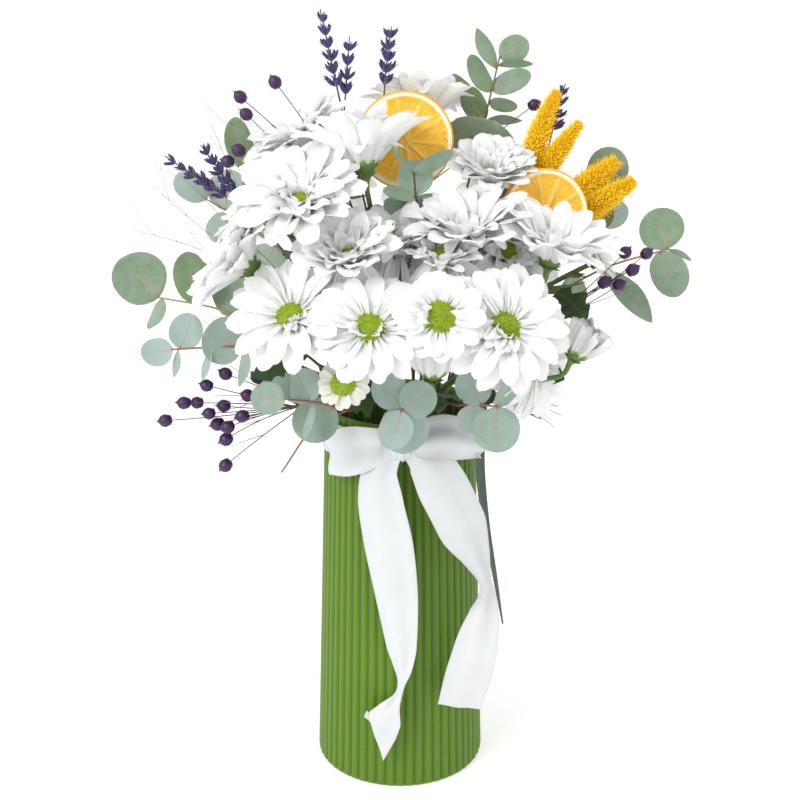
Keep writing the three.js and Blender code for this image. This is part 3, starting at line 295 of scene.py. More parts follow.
# A dry or woody skin: two colours in streaks or grains of a given size, in metres.
def plainSkin(name, first, second, roughness, grain, relief=0.0003, sheen=0.0):
    material, add = startMaterial(name, {"Roughness": roughness, "Sheen Weight": sheen})
    stretched = add("Mapping", {
        "Vector": add("TexCoord").outputs["Object"], "Scale": tuple(1 / size for size in grain),
    })
    cloud = add("TexNoise", {"Vector": stretched, "Scale": 1.0, "Detail": 3.0})
    tint = add("Attribute", attribute_name="tint").outputs["Fac"]
    part = add("Math", (tint, 0.5), operation="MULTIPLY")
    both = add("Math", (cloud, 0.5, part), operation="MULTIPLY_ADD")
    sharp = add("MapRange", {"Value": both, "From Min": 0.25, "From Max": 0.75})
    colour = add("Mix", {0: sharp, 6: first, 7: second}, data_type="RGBA")
    return finishMaterial(material, {"Base Color": colour}, cloud, 0.4, relief)


# Eucalyptus bark: red or tan on the young twigs, and dark brown green near the middle, where the
# stems stand together over the neck of the vase: that darkening is painted shade.
def youngBark():
    material, add = startMaterial("young eucalyptus bark", {"Roughness": 0.55})
    place = add("TexCoord").outputs["Object"]
    stretched = add("Mapping", {"Vector": place, "Scale": (500.0, 500.0, 80.0)})   # streaks of 2 by 12 mm
    cloud = add("TexNoise", {"Vector": stretched, "Detail": 3.0, "Scale": 1.0})
    tint = add("Attribute", attribute_name="tint").outputs["Fac"]
    both = add("Math", (cloud, 0.3, tint), operation="MULTIPLY_ADD", use_clamp=True)
    young = add("Mix", {0: both, 6: "#8E4A3E", 7: "#A98A5C"}, data_type="RGBA")
    flat = add("VectorMath", (place, (1.0, 1.0, 0.0)), operation="MULTIPLY")
    reach = add("VectorMath", (flat,), operation="LENGTH")
    # painted shade on the stems that stand together near the middle, over the neck
    neckShade = add("MapRange", {
        "Value": reach, "From Min": 0.05, "From Max": 0.085, "To Min": 1.0, "To Max": 0.0,
    })
    colour = add("Mix", {0: neckShade, 6: young, 7: "#4E5132"}, data_type="RGBA")
    return finishMaterial(material, {"Base Color": colour}, cloud, 0.4, 0.0003)


# Flesh of a dried orange slice: amber, half clear, with drawn-out juice sacs that point to
# the hub, and pale dry membranes between the segments.
def driedFlesh():
    material, add = startMaterial("dried orange flesh", {
        "Roughness": 0.32, "Subsurface Weight": 0.25, "Subsurface Scale": 0.003,
        "Subsurface Radius": (1.0, 0.45, 0.1), "Coat Weight": 0.25, "Coat Roughness": 0.25,
    })
    stretched = add("Mapping", {"Vector": add("UVMap"), "Scale": (46.0, 5.0, 1.0)})   # sacs of 2 by 5 mm
    sacs = add("TexVoronoi", {
        "Vector": stretched, "Scale": 1.0, "Randomness": 0.9,
    }, feature="DISTANCE_TO_EDGE")
    skin = add("MapRange", {"Value": sacs, "From Min": 0.0, "From Max": 0.22})
    cloud = add("TexNoise", {"Vector": add("TexCoord").outputs["Object"], "Scale": 140.0, "Detail": 3.0})
    amber = add("Mix", {0: cloud, 6: "#F2A600", 7: "#FFC91C"}, data_type="RGBA")
    sac = add("Mix", {0: skin, 6: "#FCC52E", 7: amber}, data_type="RGBA")
    tint = add("Attribute", attribute_name="tint").outputs["Fac"]
    colour = add("Mix", {0: tint, 6: sac, 7: "#FBD15C"}, data_type="RGBA")
    return finishMaterial(material, {"Base Color": colour}, skin, 0.5, 0.0006)


# Still tap water: clear, with the faintest ripple on its surface.
def stillWater():
    material, add = startMaterial("still water", {
        "Base Color": "#EAF5F4", "Roughness": 0.03, "IOR": 1.333, "Transmission Weight": 1.0,
    })
    ripple = add("TexNoise", {"Vector": add("TexCoord").outputs["Object"], "Scale": 90.0})
    return finishMaterial(material, {}, ripple, 0.05, 0.0005)


floorSheet = selfLitFloorSheet()
ceramic = glazedEarthenware()
satin = satinRibbon()
whitePetal = petalTissue("white ray florets", "#FAFBFA", "#EEF1E0", "#F8F9F7")
creamPetal = petalTissue("cream ray florets", "#F5F3E6", "#DDE6AC", "#EDEDDD")
budPetal = petalTissue("half open ray florets", "#EFF0EC", "#C9D3A6", "#DCE0DA")
discFlorets = discTissue()
greenStem = freshStem()
daisyLeaf = leafBlade("chrysanthemum leaf", "#2F4A26", "#456531", "#62804C", "#728F55", 0.5, 38.0, 0.05)
waxedLeaf = leafBlade("waxed eucalyptus leaf", "#97ABA4", "#6B8459", "#A3B5AC", "#B08A7C", 0.56, 44.0, 0.15)
redTwig = youngBark()
flaxTwig = plainSkin("dry flax twig", "#2F2426", "#6B5A52", 0.7, (0.001, 0.001, 0.01))
flaxCapsule = plainSkin("dyed flax capsule", "#220E2E", "#472159", 0.4, (0.0015, 0.0015, 0.0015))
lavenderStalk = plainSkin("dry lavender stalk", "#3A3340", "#6C6A5C", 0.75, (0.001, 0.001, 0.008))
lavenderBud = plainSkin("dry lavender buds", "#231945", "#483A80", 0.8, (0.0008, 0.0008, 0.002), sheen=0.4)
foxtailGrain = plainSkin("dyed foxtail bristles", "#DFA400", "#FFD91C", 0.8, (0.0015, 0.0015, 0.0015))
orangeRind = plainSkin("dried orange rind", "#E28A0E", "#F5AC1E", 0.45, (0.0009, 0.0009, 0.0009), 0.0005)
orangePith = plainSkin("dried orange pith", "#F3D9A0", "#FBF0D6", 0.8, (0.002, 0.002, 0.002))
orangeFlesh = driedFlesh()
pickWood = plainSkin("split bamboo", "#9A7242", "#C9A46E", 0.65, (0.0006, 0.0006, 0.02))
darkGrass = plainSkin("dark grass blade", "#37473C", "#66786A", 0.5, (0.0006, 0.0006, 0.03))
hairGrass = plainSkin("dry hair grass", "#6F6A5C", "#A9A492", 0.7, (0.001, 0.001, 0.01))
clearWater = stillWater()
print("materials ready")


def point(values):
    return Vector(values) * mm


def heading(azimuth, elevation):
    # azimuth 0 faces the front, 90 faces +X
    a, e = math.radians(azimuth), math.radians(elevation)
    return Vector((math.sin(a) * math.cos(e), -math.cos(a) * math.cos(e), math.sin(e)))


def mixed(first, second, part):
    return first + (second - first) * part


def smoothLine(points, perSegment):
    # a centripetal curve through the points
    ends = [points[0] * 2 - points[1]] + list(points) + [points[-1] * 2 - points[-2]]
    places = []
    for i in range(len(points) - 1):
        a, b, c, d = ends[i:i + 4]
        before, middle, after = [max((q - p).length ** 0.5, 1e-5) for p, q in ((a, b), (b, c), (c, d))]
        start = ((b - a) / before - (c - a) / (before + middle) + (c - b) / middle) * middle
        finish = ((c - b) / middle - (d - b) / (middle + after) + (d - c) / after) * middle
        for j in range(perSegment):
            t = j / perSegment
            places.append(b + start * t + (3 * (c - b) - 2 * start - finish) * t ** 2
                          + (2 * (b - c) + start + finish) * t ** 3)
    return places + [points[-1].copy()]


def lineOf(path, perSegment=6):
    return smoothLine([point(p) for p in path], perSegment)


def stemPlaces(path, perSegment=5):
    # straight from its foot to its second point, then smooth
    line = lineOf(path, perSegment)
    return [line[0]] + line[perSegment:]


def nearestOn(stems, target):
    best = None
    for places in stems:
        for start, end in zip(places, places[1:]):
            span = end - start
            part = max(0.0, min(1.0, (target - start).dot(span) / max(span.length_squared, 1e-12)))
            found = start + span * part
            if best is None or (found - target).length < (best - target).length:
                best = found
    return best


def alongAt(places, i):
    return (places[min(i + 1, len(places) - 1)] - places[max(i - 1, 0)]).normalized()


def stripFrames(stations, per):
    # a strip through its stations, each a place, the way across and a width: at every step
    # its place, the way along, across and out of it, and its width
    places = smoothLine([point(at) for at, _, _ in stations], per)
    across = smoothLine([Vector(over).normalized() for _, over, _ in stations], per)
    widths = smoothLine([Vector((width, 0.0, 0.0)) for _, _, width in stations], per)
    frames = []
    for i, place in enumerate(places):
        along = alongAt(places, i)
        over = (across[i] - along * across[i].dot(along)).normalized()
        frames.append((place, along, over, along.cross(over), widths[i].x * mm))
    return frames


class Shape:
    # one mesh in the making: each face has a UV for each corner, a tint, a mark that says
    # whether it is an underside, and a material

    def __init__(self):
        self.corners, self.faces, self.uvs = [], [], []
        self.tints, self.unders, self.materials = [], [], []

    def add(self, corners, faces, uvs, tint=0.5, unders=None, material=0):
        volume = sum(corners[f[0]].dot(corners[f[i]].cross(corners[f[i + 1]]))
                     for f in faces for i in range(1, len(f) - 1))
        first = len(self.corners)
        self.corners += corners
        for k, (face, uv) in enumerate(zip(faces, uvs)):
            ordered = list(zip(face, uv))
            if volume < 0:
                ordered.reverse()              # so that every face looks outwards
            self.faces.append([first + corner for corner, _ in ordered])
            self.uvs += [place for _, place in ordered]
            self.tints.append(tint[k] if isinstance(tint, list) else tint)
            self.unders.append(unders[k] if unders else 0.0)
            self.materials.append(material[k] if isinstance(material, list) else material)
        return self

    def tube(self, places, radii, sides, tint=0.5, material=0):
        # a closed tube along some places, with a radius for each
        corners, faces, uvs = [places[0].copy()], [], []
        side, run = Vector((0.2, -1.0, 0.1)), 0.0
        for i, place in enumerate(places):
            along = alongAt(places, i)
            side = (side - along * side.dot(along)).normalized()
            other = along.cross(side)
            for j in range(sides):
                turn = fullTurn * j / sides
                corners.append(place + (side * math.cos(turn) + other * math.sin(turn)) * radii[i])
        corners.append(places[-1].copy())
        last = len(corners) - 1
        for i in range(len(places) - 1):
            step = (places[i + 1] - places[i]).length
            for j in range(sides):
                a, b = 1 + i * sides + j, 1 + i * sides + (j + 1) % sides
                faces.append((a, b, b + sides, a + sides))
                uvs.append(((j / sides, run), ((j + 1) / sides, run),
                            ((j + 1) / sides, run + step), (j / sides, run + step)))
            run += step
        for j in range(sides):
            faces.append((0, 1 + (j + 1) % sides, 1 + j))
            uvs.append(((0.5, 0.0),) * 3)
            faces.append((last, last - sides + j, last - sides + (j + 1) % sides))
            uvs.append(((0.5, run),) * 3)
        return self.add(corners, faces, uvs, tint, None, material)

    def blade(self, rows, thickness, tint=0.5, material=0, across=None, along=None):
        # a thin closed blade on a grid of places: both faces share their edge
        high, wide = len(rows), len(rows[0])
        across = across or [j / (wide - 1) for j in range(wide)]
        along = along or [i / (high - 1) for i in range(high)]
        corners, top, low = [], {}, {}
        for i in range(high):
            for j in range(wide):
                place = rows[i][j]
                up = rows[min(i + 1, high - 1)][j] - rows[max(i - 1, 0)][j]
                over = rows[i][min(j + 1, wide - 1)] - rows[i][max(j - 1, 0)]
                normal = over.cross(up).normalized() * (thickness / 2)
                top[i, j] = low[i, j] = len(corners)
                if i in (0, high - 1) or j in (0, wide - 1):
                    corners.append(place.copy())
                else:
                    corners += [place + normal, place - normal]
                    low[i, j] += 1
        faces, uvs, unders = [], [], []
        for i in range(high - 1):
            for j in range(wide - 1):
                cells = [(i, j), (i, j + 1), (i + 1, j + 1), (i + 1, j)]
                places = [(across[n], along[m]) for m, n in cells]
                faces += [[top[cell] for cell in cells], [low[cell] for cell in reversed(cells)]]
                uvs += [places, places[::-1]]
                unders += [0.0, 1.0]
        return self.add(corners, faces, uvs, tint, unders, material)

    def turned(self, profile, sides, tint=0.5, wave=None):
        # a turned form from one pole on the axis to the other
        corners, rings, faces, uvs = [], [], [], []
        for radius, height in profile:
            if radius == 0:
                rings.append([len(corners)] * sides)
                corners.append(Vector((0.0, 0.0, height)))
                continue
            rings.append(list(range(len(corners), len(corners) + sides)))
            for j in range(sides):
                turn = fullTurn * j / sides
                reach = radius * (wave(turn) if wave else 1.0)
                corners.append(Vector((reach * math.cos(turn), reach * math.sin(turn), height)))
        for k in range(len(profile) - 1):
            for j in range(sides):
                n = (j + 1) % sides
                face = [rings[k][j], rings[k][n], rings[k + 1][n], rings[k + 1][j]]
                uv = [(j / sides, k), ((j + 1) / sides, k), ((j + 1) / sides, k + 1), (j / sides, k + 1)]
                kept = [m for m in range(4) if face[m] not in face[:m]]
                faces.append([face[m] for m in kept])
                uvs.append([uv[m] for m in kept])
        return self.add(corners, faces, uvs, tint)

    def teeth(self, count, profile, thickness):
        # small pointed teeth round a form, each from the reach, half width and height along it
        for k in range(count):
            turn = Matrix.Rotation(fullTurn * k / count, 4, "Z")
            self.blade([[turn @ Vector((reach, half * u, height)) for u in (-1, 0, 1)]
                        for reach, half, height in profile], thickness)
        return self

    def mesh(self, name, materials):
        mesh = bpy.data.meshes.new(name)
        mesh.from_pydata(self.corners, [], self.faces)
        for material in materials:
            mesh.materials.append(material)
        layer = mesh.uv_layers.new(name="UVMap")
        layer.data.foreach_set("uv", [number for place in self.uvs for number in place])
        setAttributes(mesh, "FACE", tint=self.tints, under=self.unders)
        mesh.polygons.foreach_set("material_index", self.materials)
        mesh.polygons.foreach_set("use_smooth", [True] * len(mesh.polygons))
        whole = bmesh.new()
        whole.from_mesh(mesh)
        for edge in whole.edges:
            if edge.is_manifold and edge.calc_face_angle() > 1.3:
                edge.smooth = False          # thin rims keep the shading of their own side
        whole.to_mesh(mesh)
        whole.free()
        return mesh


def setAttributes(mesh, domain, **attributes):
    for name, values in attributes.items():
        mesh.attributes.new(name, "FLOAT", domain).data.foreach_set("value", values)


def joined(name, meshes):
    # several meshes as one object, with their materials, UV maps and attributes
    objects = [placed(name, mesh) for mesh in meshes]
    if len(objects) > 1:
        with bpy.context.temp_override(
                active_object=objects[0], object=objects[0],
                selected_objects=objects, selected_editable_objects=objects):
            bpy.ops.object.join()
    objects[0].name = name
    return objects[0]


def finishPiece(piece, slot, *nodes):
    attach(piece, "root")
    if nodes:
        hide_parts(*nodes)
    return piece


# Node trees for what repeats or follows a path.
def startTree(name, inputs):
    # a tree with its named inputs: each is the kind of socket, or a default that tells it
    tree = bpy.data.node_groups.new(name, "GeometryNodeTree")
    tree.interface.new_socket(name="Geometry", in_out="INPUT", socket_type="NodeSocketGeometry")
    for label, default in {**inputs, "Material": "Material"}.items():
        kind = default if isinstance(default, str) else {int: "Int", float: "Float"}[type(default)]
        socket = tree.interface.new_socket(name=label, in_out="INPUT", socket_type="NodeSocket" + kind)
        if kind != default:
            socket.default_value = default
    tree.interface.new_socket(name="Geometry", in_out="OUTPUT", socket_type="NodeSocketGeometry")
    add = functools.partial(addNode, tree)
    return add, add("GroupInput").outputs


def endTree(add, given, geometry):
    # realised, smooth and with its material, as plain geometry
    whole = add("RealizeInstances", {"Geometry": geometry})
    smooth = add("SetShadeSmooth", {"Geometry": whole})
    finish = add("SetMaterial", {"Geometry": smooth, "Material": given["Material"]})
    return add("GroupOutput", {"Geometry": finish}).id_data


def runTree(tree, values, base=None):
    # the tree's result on a base mesh, as a plain mesh without the modifier
    holder = placed("holder", base or bpy.data.meshes.new("holder"))
    modifier = holder.modifiers.new("tree", "NODES")
    modifier.node_group = tree
    for item in tree.interface.items_tree:
        if item.item_type == "SOCKET" and item.in_out == "INPUT" and item.name in values:
            modifier[item.identifier] = values[item.name]
    graph = bpy.context.evaluated_depsgraph_get()
    mesh = bpy.data.meshes.new_from_object(
        holder.evaluated_get(graph), preserve_all_data_layers=True, depsgraph=graph)
    bpy.data.objects.remove(holder)
    tint = mesh.attributes.get("tint")
    if tint and tint.domain == "POINT":
        shares = [datum.value for datum in tint.data]
        mesh.attributes.remove(tint)
        setAttributes(mesh, "FACE", tint=[
            sum(shares[corner] for corner in face.vertices) / len(face.vertices) for face in mesh.polygons])
    return mesh


def petalRingTree():
    # petals, or bracts, round a disc in layers; each layer lifts more and is shorter
    add, given = startTree("petal ring", {
        "Petals": "Collection", "Count": 22, "Layers": 2, "Ring": 0.007, "Height": 0.0, "Start": 0.0,
        "Arc": fullTurn, "Cup": 0.2, "Cup Step": 0.3, "Cup Spread": 0.1, "Turn Spread": 0.06,
        "Roll Spread": 0.2, "Length": 0.03, "Width": 0.0115, "Shortening": 0.08, "Size Spread": 0.07,
        "Layer Gap": 0.0006, "Seed": 0,
    })
    line = add("MeshLine", {"Count": given["Count"], "Offset": (0.0, 0.0, 0.0)})
    index = add("InputIndex")
    layer = add("Math", (index, given["Layers"]), operation="MODULO")
    draws = {}
    for k, label in enumerate(("Turn Spread", "Cup Spread", "Roll Spread", "Size Spread")):
        least = add("Math", (given[label], -1.0), operation="MULTIPLY")
        seed = add("Math", (given["Seed"], 10.0 * k), operation="ADD")
        draws[label] = add("RandomValue", {2: least, 3: given[label], "Seed": seed}, data_type="FLOAT")
    middle = add("Math", (index, 0.5), operation="ADD")
    share = add("Math", (middle, given["Count"]), operation="DIVIDE")
    turned = add("Math", (share, given["Arc"], given["Start"]), operation="MULTIPLY_ADD")
    turn = add("Math", (turned, draws["Turn Spread"]), operation="ADD")
    lifted = add("Math", (layer, given["Cup Step"], given["Cup"]), operation="MULTIPLY_ADD")
    cup = add("Math", (lifted, draws["Cup Spread"]), operation="ADD")
    down = add("Math", (cup, -1.0), operation="MULTIPLY")
    angles = add("CombineXYZ", (draws["Roll Spread"], down, turn))
    cosine = add("Math", (turn,), operation="COSINE")
    sine = add("Math", (turn,), operation="SINE")
    x = add("Math", (cosine, given["Ring"]), operation="MULTIPLY")
    y = add("Math", (sine, given["Ring"]), operation="MULTIPLY")
    z = add("Math", (layer, given["Layer Gap"], given["Height"]), operation="MULTIPLY_ADD")
    points = add("SetPosition", {"Geometry": line, "Position": add("CombineXYZ", (x, y, z))})
    loss = add("Math", (layer, given["Shortening"]), operation="MULTIPLY")
    left = add("Math", (1.0, loss), operation="SUBTRACT")
    size = add("Math", (left, draws["Size Spread"]), operation="ADD")
    long = add("Math", (size, given["Length"]), operation="MULTIPLY")
    wide = add("Math", (size, given["Width"]), operation="MULTIPLY")
    shapes = add("CollectionInfo", {
        "Collection": given["Petals"], "Separate Children": True, "Reset Children": True,
    })
    choice = add("RandomValue", {4: 0, 5: 40, "Seed": given["Seed"]}, data_type="INT")
    ring = add("InstanceOnPoints", {
        "Points": points, "Instance": shapes, "Pick Instance": True, "Instance Index": choice,
        "Rotation": add("EulerToRotation", (angles,)), "Scale": add("CombineXYZ", (long, wide, long)),
    })
    return endTree(add, given, ring)


def discTree():
    # florets in a sunflower spiral on a low dome; tint runs from 0 in the middle to 1
    add, given = startTree("disc florets", {
        "Floret": "Object", "Florets": 90, "Radius": 0.0068, "Height": 0.001, "Dome": 0.0022,
        "Size": 0.0017, "Least": 0.8, "Most": 1.2, "Lean": 0.7, "Seed": 0,
    })
    line = add("MeshLine", {"Count": given["Florets"], "Offset": (0.0, 0.0, 0.0)})
    index = add("InputIndex")
    middle = add("Math", (index, 0.5), operation="ADD")
    share = add("Math", (middle, given["Florets"]), operation="DIVIDE")
    part = add("Math", (share,), operation="SQRT")
    reach = add("Math", (part, given["Radius"]), operation="MULTIPLY")
    turn = add("Math", (index, goldenTurn), operation="MULTIPLY")
    cosine = add("Math", (turn,), operation="COSINE")
    sine = add("Math", (turn,), operation="SINE")
    x = add("Math", (cosine, reach), operation="MULTIPLY")
    y = add("Math", (sine, reach), operation="MULTIPLY")
    fall = add("Math", (1.0, share), operation="SUBTRACT")
    z = add("Math", (fall, given["Dome"], given["Height"]), operation="MULTIPLY_ADD")
    points = add("SetPosition", {"Geometry": line, "Position": add("CombineXYZ", (x, y, z))})
    lean = add("Math", (part, given["Lean"]), operation="MULTIPLY")
    angles = add("CombineXYZ", {"Y": lean, "Z": turn})
    shape = add("ObjectInfo", {"Object": given["Floret"], "As Instance": True}).outputs["Geometry"]
    draw = add("RandomValue", {2: given["Least"], 3: given["Most"], "Seed": given["Seed"]}, data_type="FLOAT")
    size = add("Math", (draw, given["Size"]), operation="MULTIPLY")
    florets = add("InstanceOnPoints", {
        "Points": points, "Instance": shape, "Rotation": add("EulerToRotation", (angles,)), "Scale": size,
    })
    return endTree(add, given, add("StoreNamedAttribute", {
        "Geometry": florets, "Name": "tint", "Value": part,
    }, data_type="FLOAT", domain="INSTANCE"))


def stemTree():
    # ridged tubes along lines, as thick as their own attribute says
    add, given = startTree("stems", {"Ridges": 5, "Groove": 0.9})
    lines = add("MeshToCurve", {"Mesh": given["Geometry"]})
    thickness = add("InputNamedAttribute", {"Name": "thickness"}, data_type="FLOAT")
    section = add("CurveStar", {
        "Points": given["Ridges"], "Inner Radius": given["Groove"], "Outer Radius": 1.0,
    })
    return endTree(add, given, add("CurveToMesh", {
        "Curve": lines, "Profile Curve": section, "Scale": thickness, "Fill Caps": True,
    }))


def spikeTree():
    # buds, grains or bristles round a line, in whorls or in a spiral
    add, given = startTree("spike", {
        "Shape": "Object", "Pieces": 30, "Per Whorl": 1, "Twist": goldenTurn, "Start": 0.2, "End": 1.0,
        "Reach": 0.001, "Lean": 0.6, "Lean Spread": 0.15, "Size": 0.006, "Size Spread": 0.15,
        "Taper": 0.4, "Taper Power": 2.0, "Seed": 0,
    })
    line = add("MeshLine", {"Count": given["Pieces"], "Offset": (0.0, 0.0, 0.0)})
    path = add("MeshToCurve", {"Mesh": given["Geometry"]})
    index = add("InputIndex")
    over = add("Math", (index, given["Per Whorl"]), operation="DIVIDE")
    whorl = add("Math", (over,), operation="FLOOR")
    whorls = add("Math", (given["Pieces"], given["Per Whorl"]), operation="DIVIDE")
    share = add("Math", (whorl, whorls), operation="DIVIDE")
    span = add("Math", (given["End"], given["Start"]), operation="SUBTRACT")
    factor = add("Math", (share, span, given["Start"]), operation="MULTIPLY_ADD")
    found = add("SampleCurve", {
        "Curves": path, "Factor": factor,
    }, mode="FACTOR", use_all_curves=True).outputs
    step = add("Math", (fullTurn, given["Per Whorl"]), operation="DIVIDE")
    around = add("Math", (index, step), operation="MULTIPLY")
    turn = add("Math", (whorl, given["Twist"], around), operation="MULTIPLY_ADD")
    least = add("Math", (given["Lean Spread"], -1.0), operation="MULTIPLY")
    leaned = add("RandomValue", {
        2: least, 3: given["Lean Spread"], "Seed": given["Seed"],
    }, data_type="FLOAT")
    lean = add("Math", (given["Lean"], leaned), operation="ADD")
    aim = add("AxesToRotation", (found["Tangent"], found["Normal"]), primary_axis="Z", secondary_axis="X")
    spin = add("EulerToRotation", (add("CombineXYZ", {"Z": turn}),))
    spun = add("RotateRotation", (aim, spin), rotation_space="LOCAL")
    tilt = add("EulerToRotation", (add("CombineXYZ", {"Y": lean}),))
    tilted = add("RotateRotation", (spun, tilt), rotation_space="LOCAL")
    power = add("Math", (share, given["Taper Power"]), operation="POWER")
    loss = add("Math", (power, given["Taper"]), operation="MULTIPLY")
    left = add("Math", (1.0, loss), operation="SUBTRACT")
    out = add("Math", (left, given["Reach"]), operation="MULTIPLY")
    shift = add("RotateVector", (add("CombineXYZ", {"X": out}), spun))
    place = add("VectorMath", (found["Position"], shift), operation="ADD")
    points = add("SetPosition", {"Geometry": line, "Position": place})
    drop = add("Math", (given["Size Spread"], -1.0), operation="MULTIPLY")
    more = add("Math", (given["Seed"], 5.0), operation="ADD")
    drawn = add("RandomValue", {2: drop, 3: given["Size Spread"], "Seed": more}, data_type="FLOAT")
    whole = add("Math", (left, drawn), operation="ADD")
    size = add("Math", (whole, given["Size"]), operation="MULTIPLY")
    shape = add("ObjectInfo", {"Object": given["Shape"], "As Instance": True}).outputs["Geometry"]
    buds = add("InstanceOnPoints", {
        "Points": points, "Instance": shape, "Rotation": tilted, "Scale": size,
    })
    tint = add("RandomValue", {"Seed": given["Seed"]}, data_type="FLOAT")
    return endTree(add, given, add("StoreNamedAttribute", {
        "Geometry": buds, "Name": "tint", "Value": tint,
    }, data_type="FLOAT", domain="INSTANCE"))


def capsuleTree():
    # seed heads on points, each turned to its own direction
    add, given = startTree("seed heads", {
        "Shape": "Object", "Size": 0.0041, "Size Spread": 0.12, "Seed": 0,
    })
    points = add("MeshToPoints", {"Mesh": given["Geometry"]})
    aim = add("InputNamedAttribute", {"Name": "aim"}, data_type="FLOAT_VECTOR")
    rotation = add("AlignRotationToVector", {"Vector": aim}, axis="Z")
    drop = add("Math", (1.0, given["Size Spread"]), operation="SUBTRACT")
    draw = add("RandomValue", {2: drop, 3: 1.0, "Seed": given["Seed"]}, data_type="FLOAT")
    size = add("Math", (draw, given["Size"]), operation="MULTIPLY")
    shape = add("ObjectInfo", {"Object": given["Shape"], "As Instance": True}).outputs["Geometry"]
    return endTree(add, given, add("InstanceOnPoints", {
        "Points": points, "Instance": shape, "Rotation": rotation, "Scale": size,
    }))


def ribTree():
    # upright rounded ribs on the wall of a turned vase, marked by the attribute "wall"
    add, given = startTree("ribs", {"Ribs": 54, "Depth": 0.0013, "Fullness": 0.75})
    axes = add("SeparateXYZ", (add("InputPosition"),)).outputs
    turn = add("Math", (axes["Y"], axes["X"]), operation="ARCTAN2")
    half = add("Math", (given["Ribs"], 0.5), operation="MULTIPLY")
    around = add("Math", (turn, half), operation="MULTIPLY")
    wave = add("Math", (around,), operation="SINE")
    crest = add("Math", (wave,), operation="ABSOLUTE")
    full = add("Math", (crest, given["Fullness"]), operation="POWER")
    groove = add("Math", (1.0, full), operation="SUBTRACT")
    wall = add("InputNamedAttribute", {"Name": "wall"}, data_type="FLOAT")
    marked = add("Math", (groove, wall), operation="MULTIPLY")
    # the groove share, which the glaze darkens as pooled glaze and painted shade
    stored = add("StoreNamedAttribute", {
        "Geometry": given["Geometry"], "Name": "groove", "Value": marked,
    }, data_type="FLOAT", domain="POINT")
    depth = add("Math", (given["Depth"], -1.0), operation="MULTIPLY")
    inward = add("Math", (marked, depth), operation="MULTIPLY")
    out = add("VectorMath", (add("CombineXYZ", (axes["X"], axes["Y"])),), operation="NORMALIZE")
    shift = add("VectorMath", {0: out, "Scale": inward}, operation="SCALE")
    return endTree(add, given, add("SetPosition", {"Geometry": stored, "Offset": shift}))


def lineMesh(places):
    mesh = bpy.data.meshes.new("path")
    mesh.from_pydata(places, [(i, i + 1) for i in range(len(places) - 1)], [])
    return mesh


def tubesOf(lines, material, ridges, groove):
    # a tube along each line, which is its places, its radius at both ends in mm and a tint
    mesh = bpy.data.meshes.new("lines")
    corners, edges, radii, tints = [], [], [], []
    for places, first, last, tint in lines:
        start = len(corners)
        corners += places
        edges += [(start + i, start + i + 1) for i in range(len(places) - 1)]
        radii += [mixed(first * mm, last * mm, i / (len(places) - 1)) for i in range(len(places))]
        tints += [tint] * len(places)
    mesh.from_pydata(corners, edges, [])
    setAttributes(mesh, "POINT", thickness=radii, tint=tints)
    return runTree(stemTubes, {"Ridges": ridges, "Groove": groove, "Material": material}, mesh)


petalRing, discSpiral, stemTubes = petalRingTree(), discTree(), stemTree()
spikes, seedHeads, vaseRibs = spikeTree(), capsuleTree(), ribTree()
print("node trees ready")

half = studio["floorSize"] / 2
floorShape = Shape().turned([(0, -0.02), (half, -0.02), (half, 0.0), (0, 0.0)], 64)
floor = placed("floor", floorShape.mesh("floor", [floorSheet]))
floor.data.polygons.foreach_set("use_smooth", [False] * len(floor.data.polygons))

vase = {
    "height": 250 * mm, "footRadius": 56 * mm, "rimRadius": 48 * mm, "wall": 3.6 * mm,
    "floor": 5 * mm, "ribs": 54, "ribDepth": 1.3 * mm, "sidesPerRib": 8,
}


def vaseReach(level):
    return vase["footRadius"] - (vase["footRadius"] - vase["rimRadius"]) * level / vase["height"]


def makeVase():
    height, inset, top = vase["height"], vase["ribDepth"] + vase["wall"], vase["rimRadius"]
    foot = [(0, 1.2), (42, 1.2), (44, 0), (53.5, 0), (55.2, 0.5), (55.8, 1.4)]
    lip = [(0.05, -2.2), (-0.1, -1.2), (-0.6, -0.35), (-1.6, 0)]         # off the rim's outer edge
    profile = [(radius * mm, level * mm) for radius, level in foot] + [(vaseReach(3 * mm), 3 * mm)]
    profile += [(vaseReach(height * k / 24), height * k / 24) for k in range(1, 24)]
    profile += [(top + out * mm, height + up * mm) for out, up in lip]
    profile += [(top - inset + out * mm, height + up * mm) for out, up in ((1.2, -0.1), (0.3, -1.0))]
    profile += [(vaseReach(level) - inset, level) for level in (0.244, 0.2, 0.13, 0.06, 0.011)]
    profile += [(vaseReach(0.0) - inset - 3 * mm, vase["floor"] + 1 * mm),
                (vaseReach(0.0) - inset - 8 * mm, vase["floor"]), (0, vase["floor"])]
    base = Shape().turned(profile, vase["ribs"] * vase["sidesPerRib"]).mesh("vase", [ceramic])
    wall = []                             # the ribs fade out at the foot and at the lip
    for corner in base.vertices:
        outside = math.hypot(corner.co.x, corner.co.y) > vaseReach(corner.co.z) - 0.9 * mm
        fades = (min(1.0, max(0.25, corner.co.z / (3 * mm))),
                 min(1.0, max(0.35, (height - corner.co.z) / (3 * mm))))
        wall.append(fades[0] * fades[1] if outside else 0.0)
    setAttributes(base, "POINT", wall=wall)
    mesh = runTree(vaseRibs, {
        "Ribs": vase["ribs"], "Depth": vase["ribDepth"], "Material": ceramic,
    }, base)
    finishPiece(placed("ribbed_vase", mesh), "vase", "vase")


makeVase()
water = frame["nodes"]["water"]
water.data.materials.clear()
water.data.materials.append(clearWater)
print("vase ready")

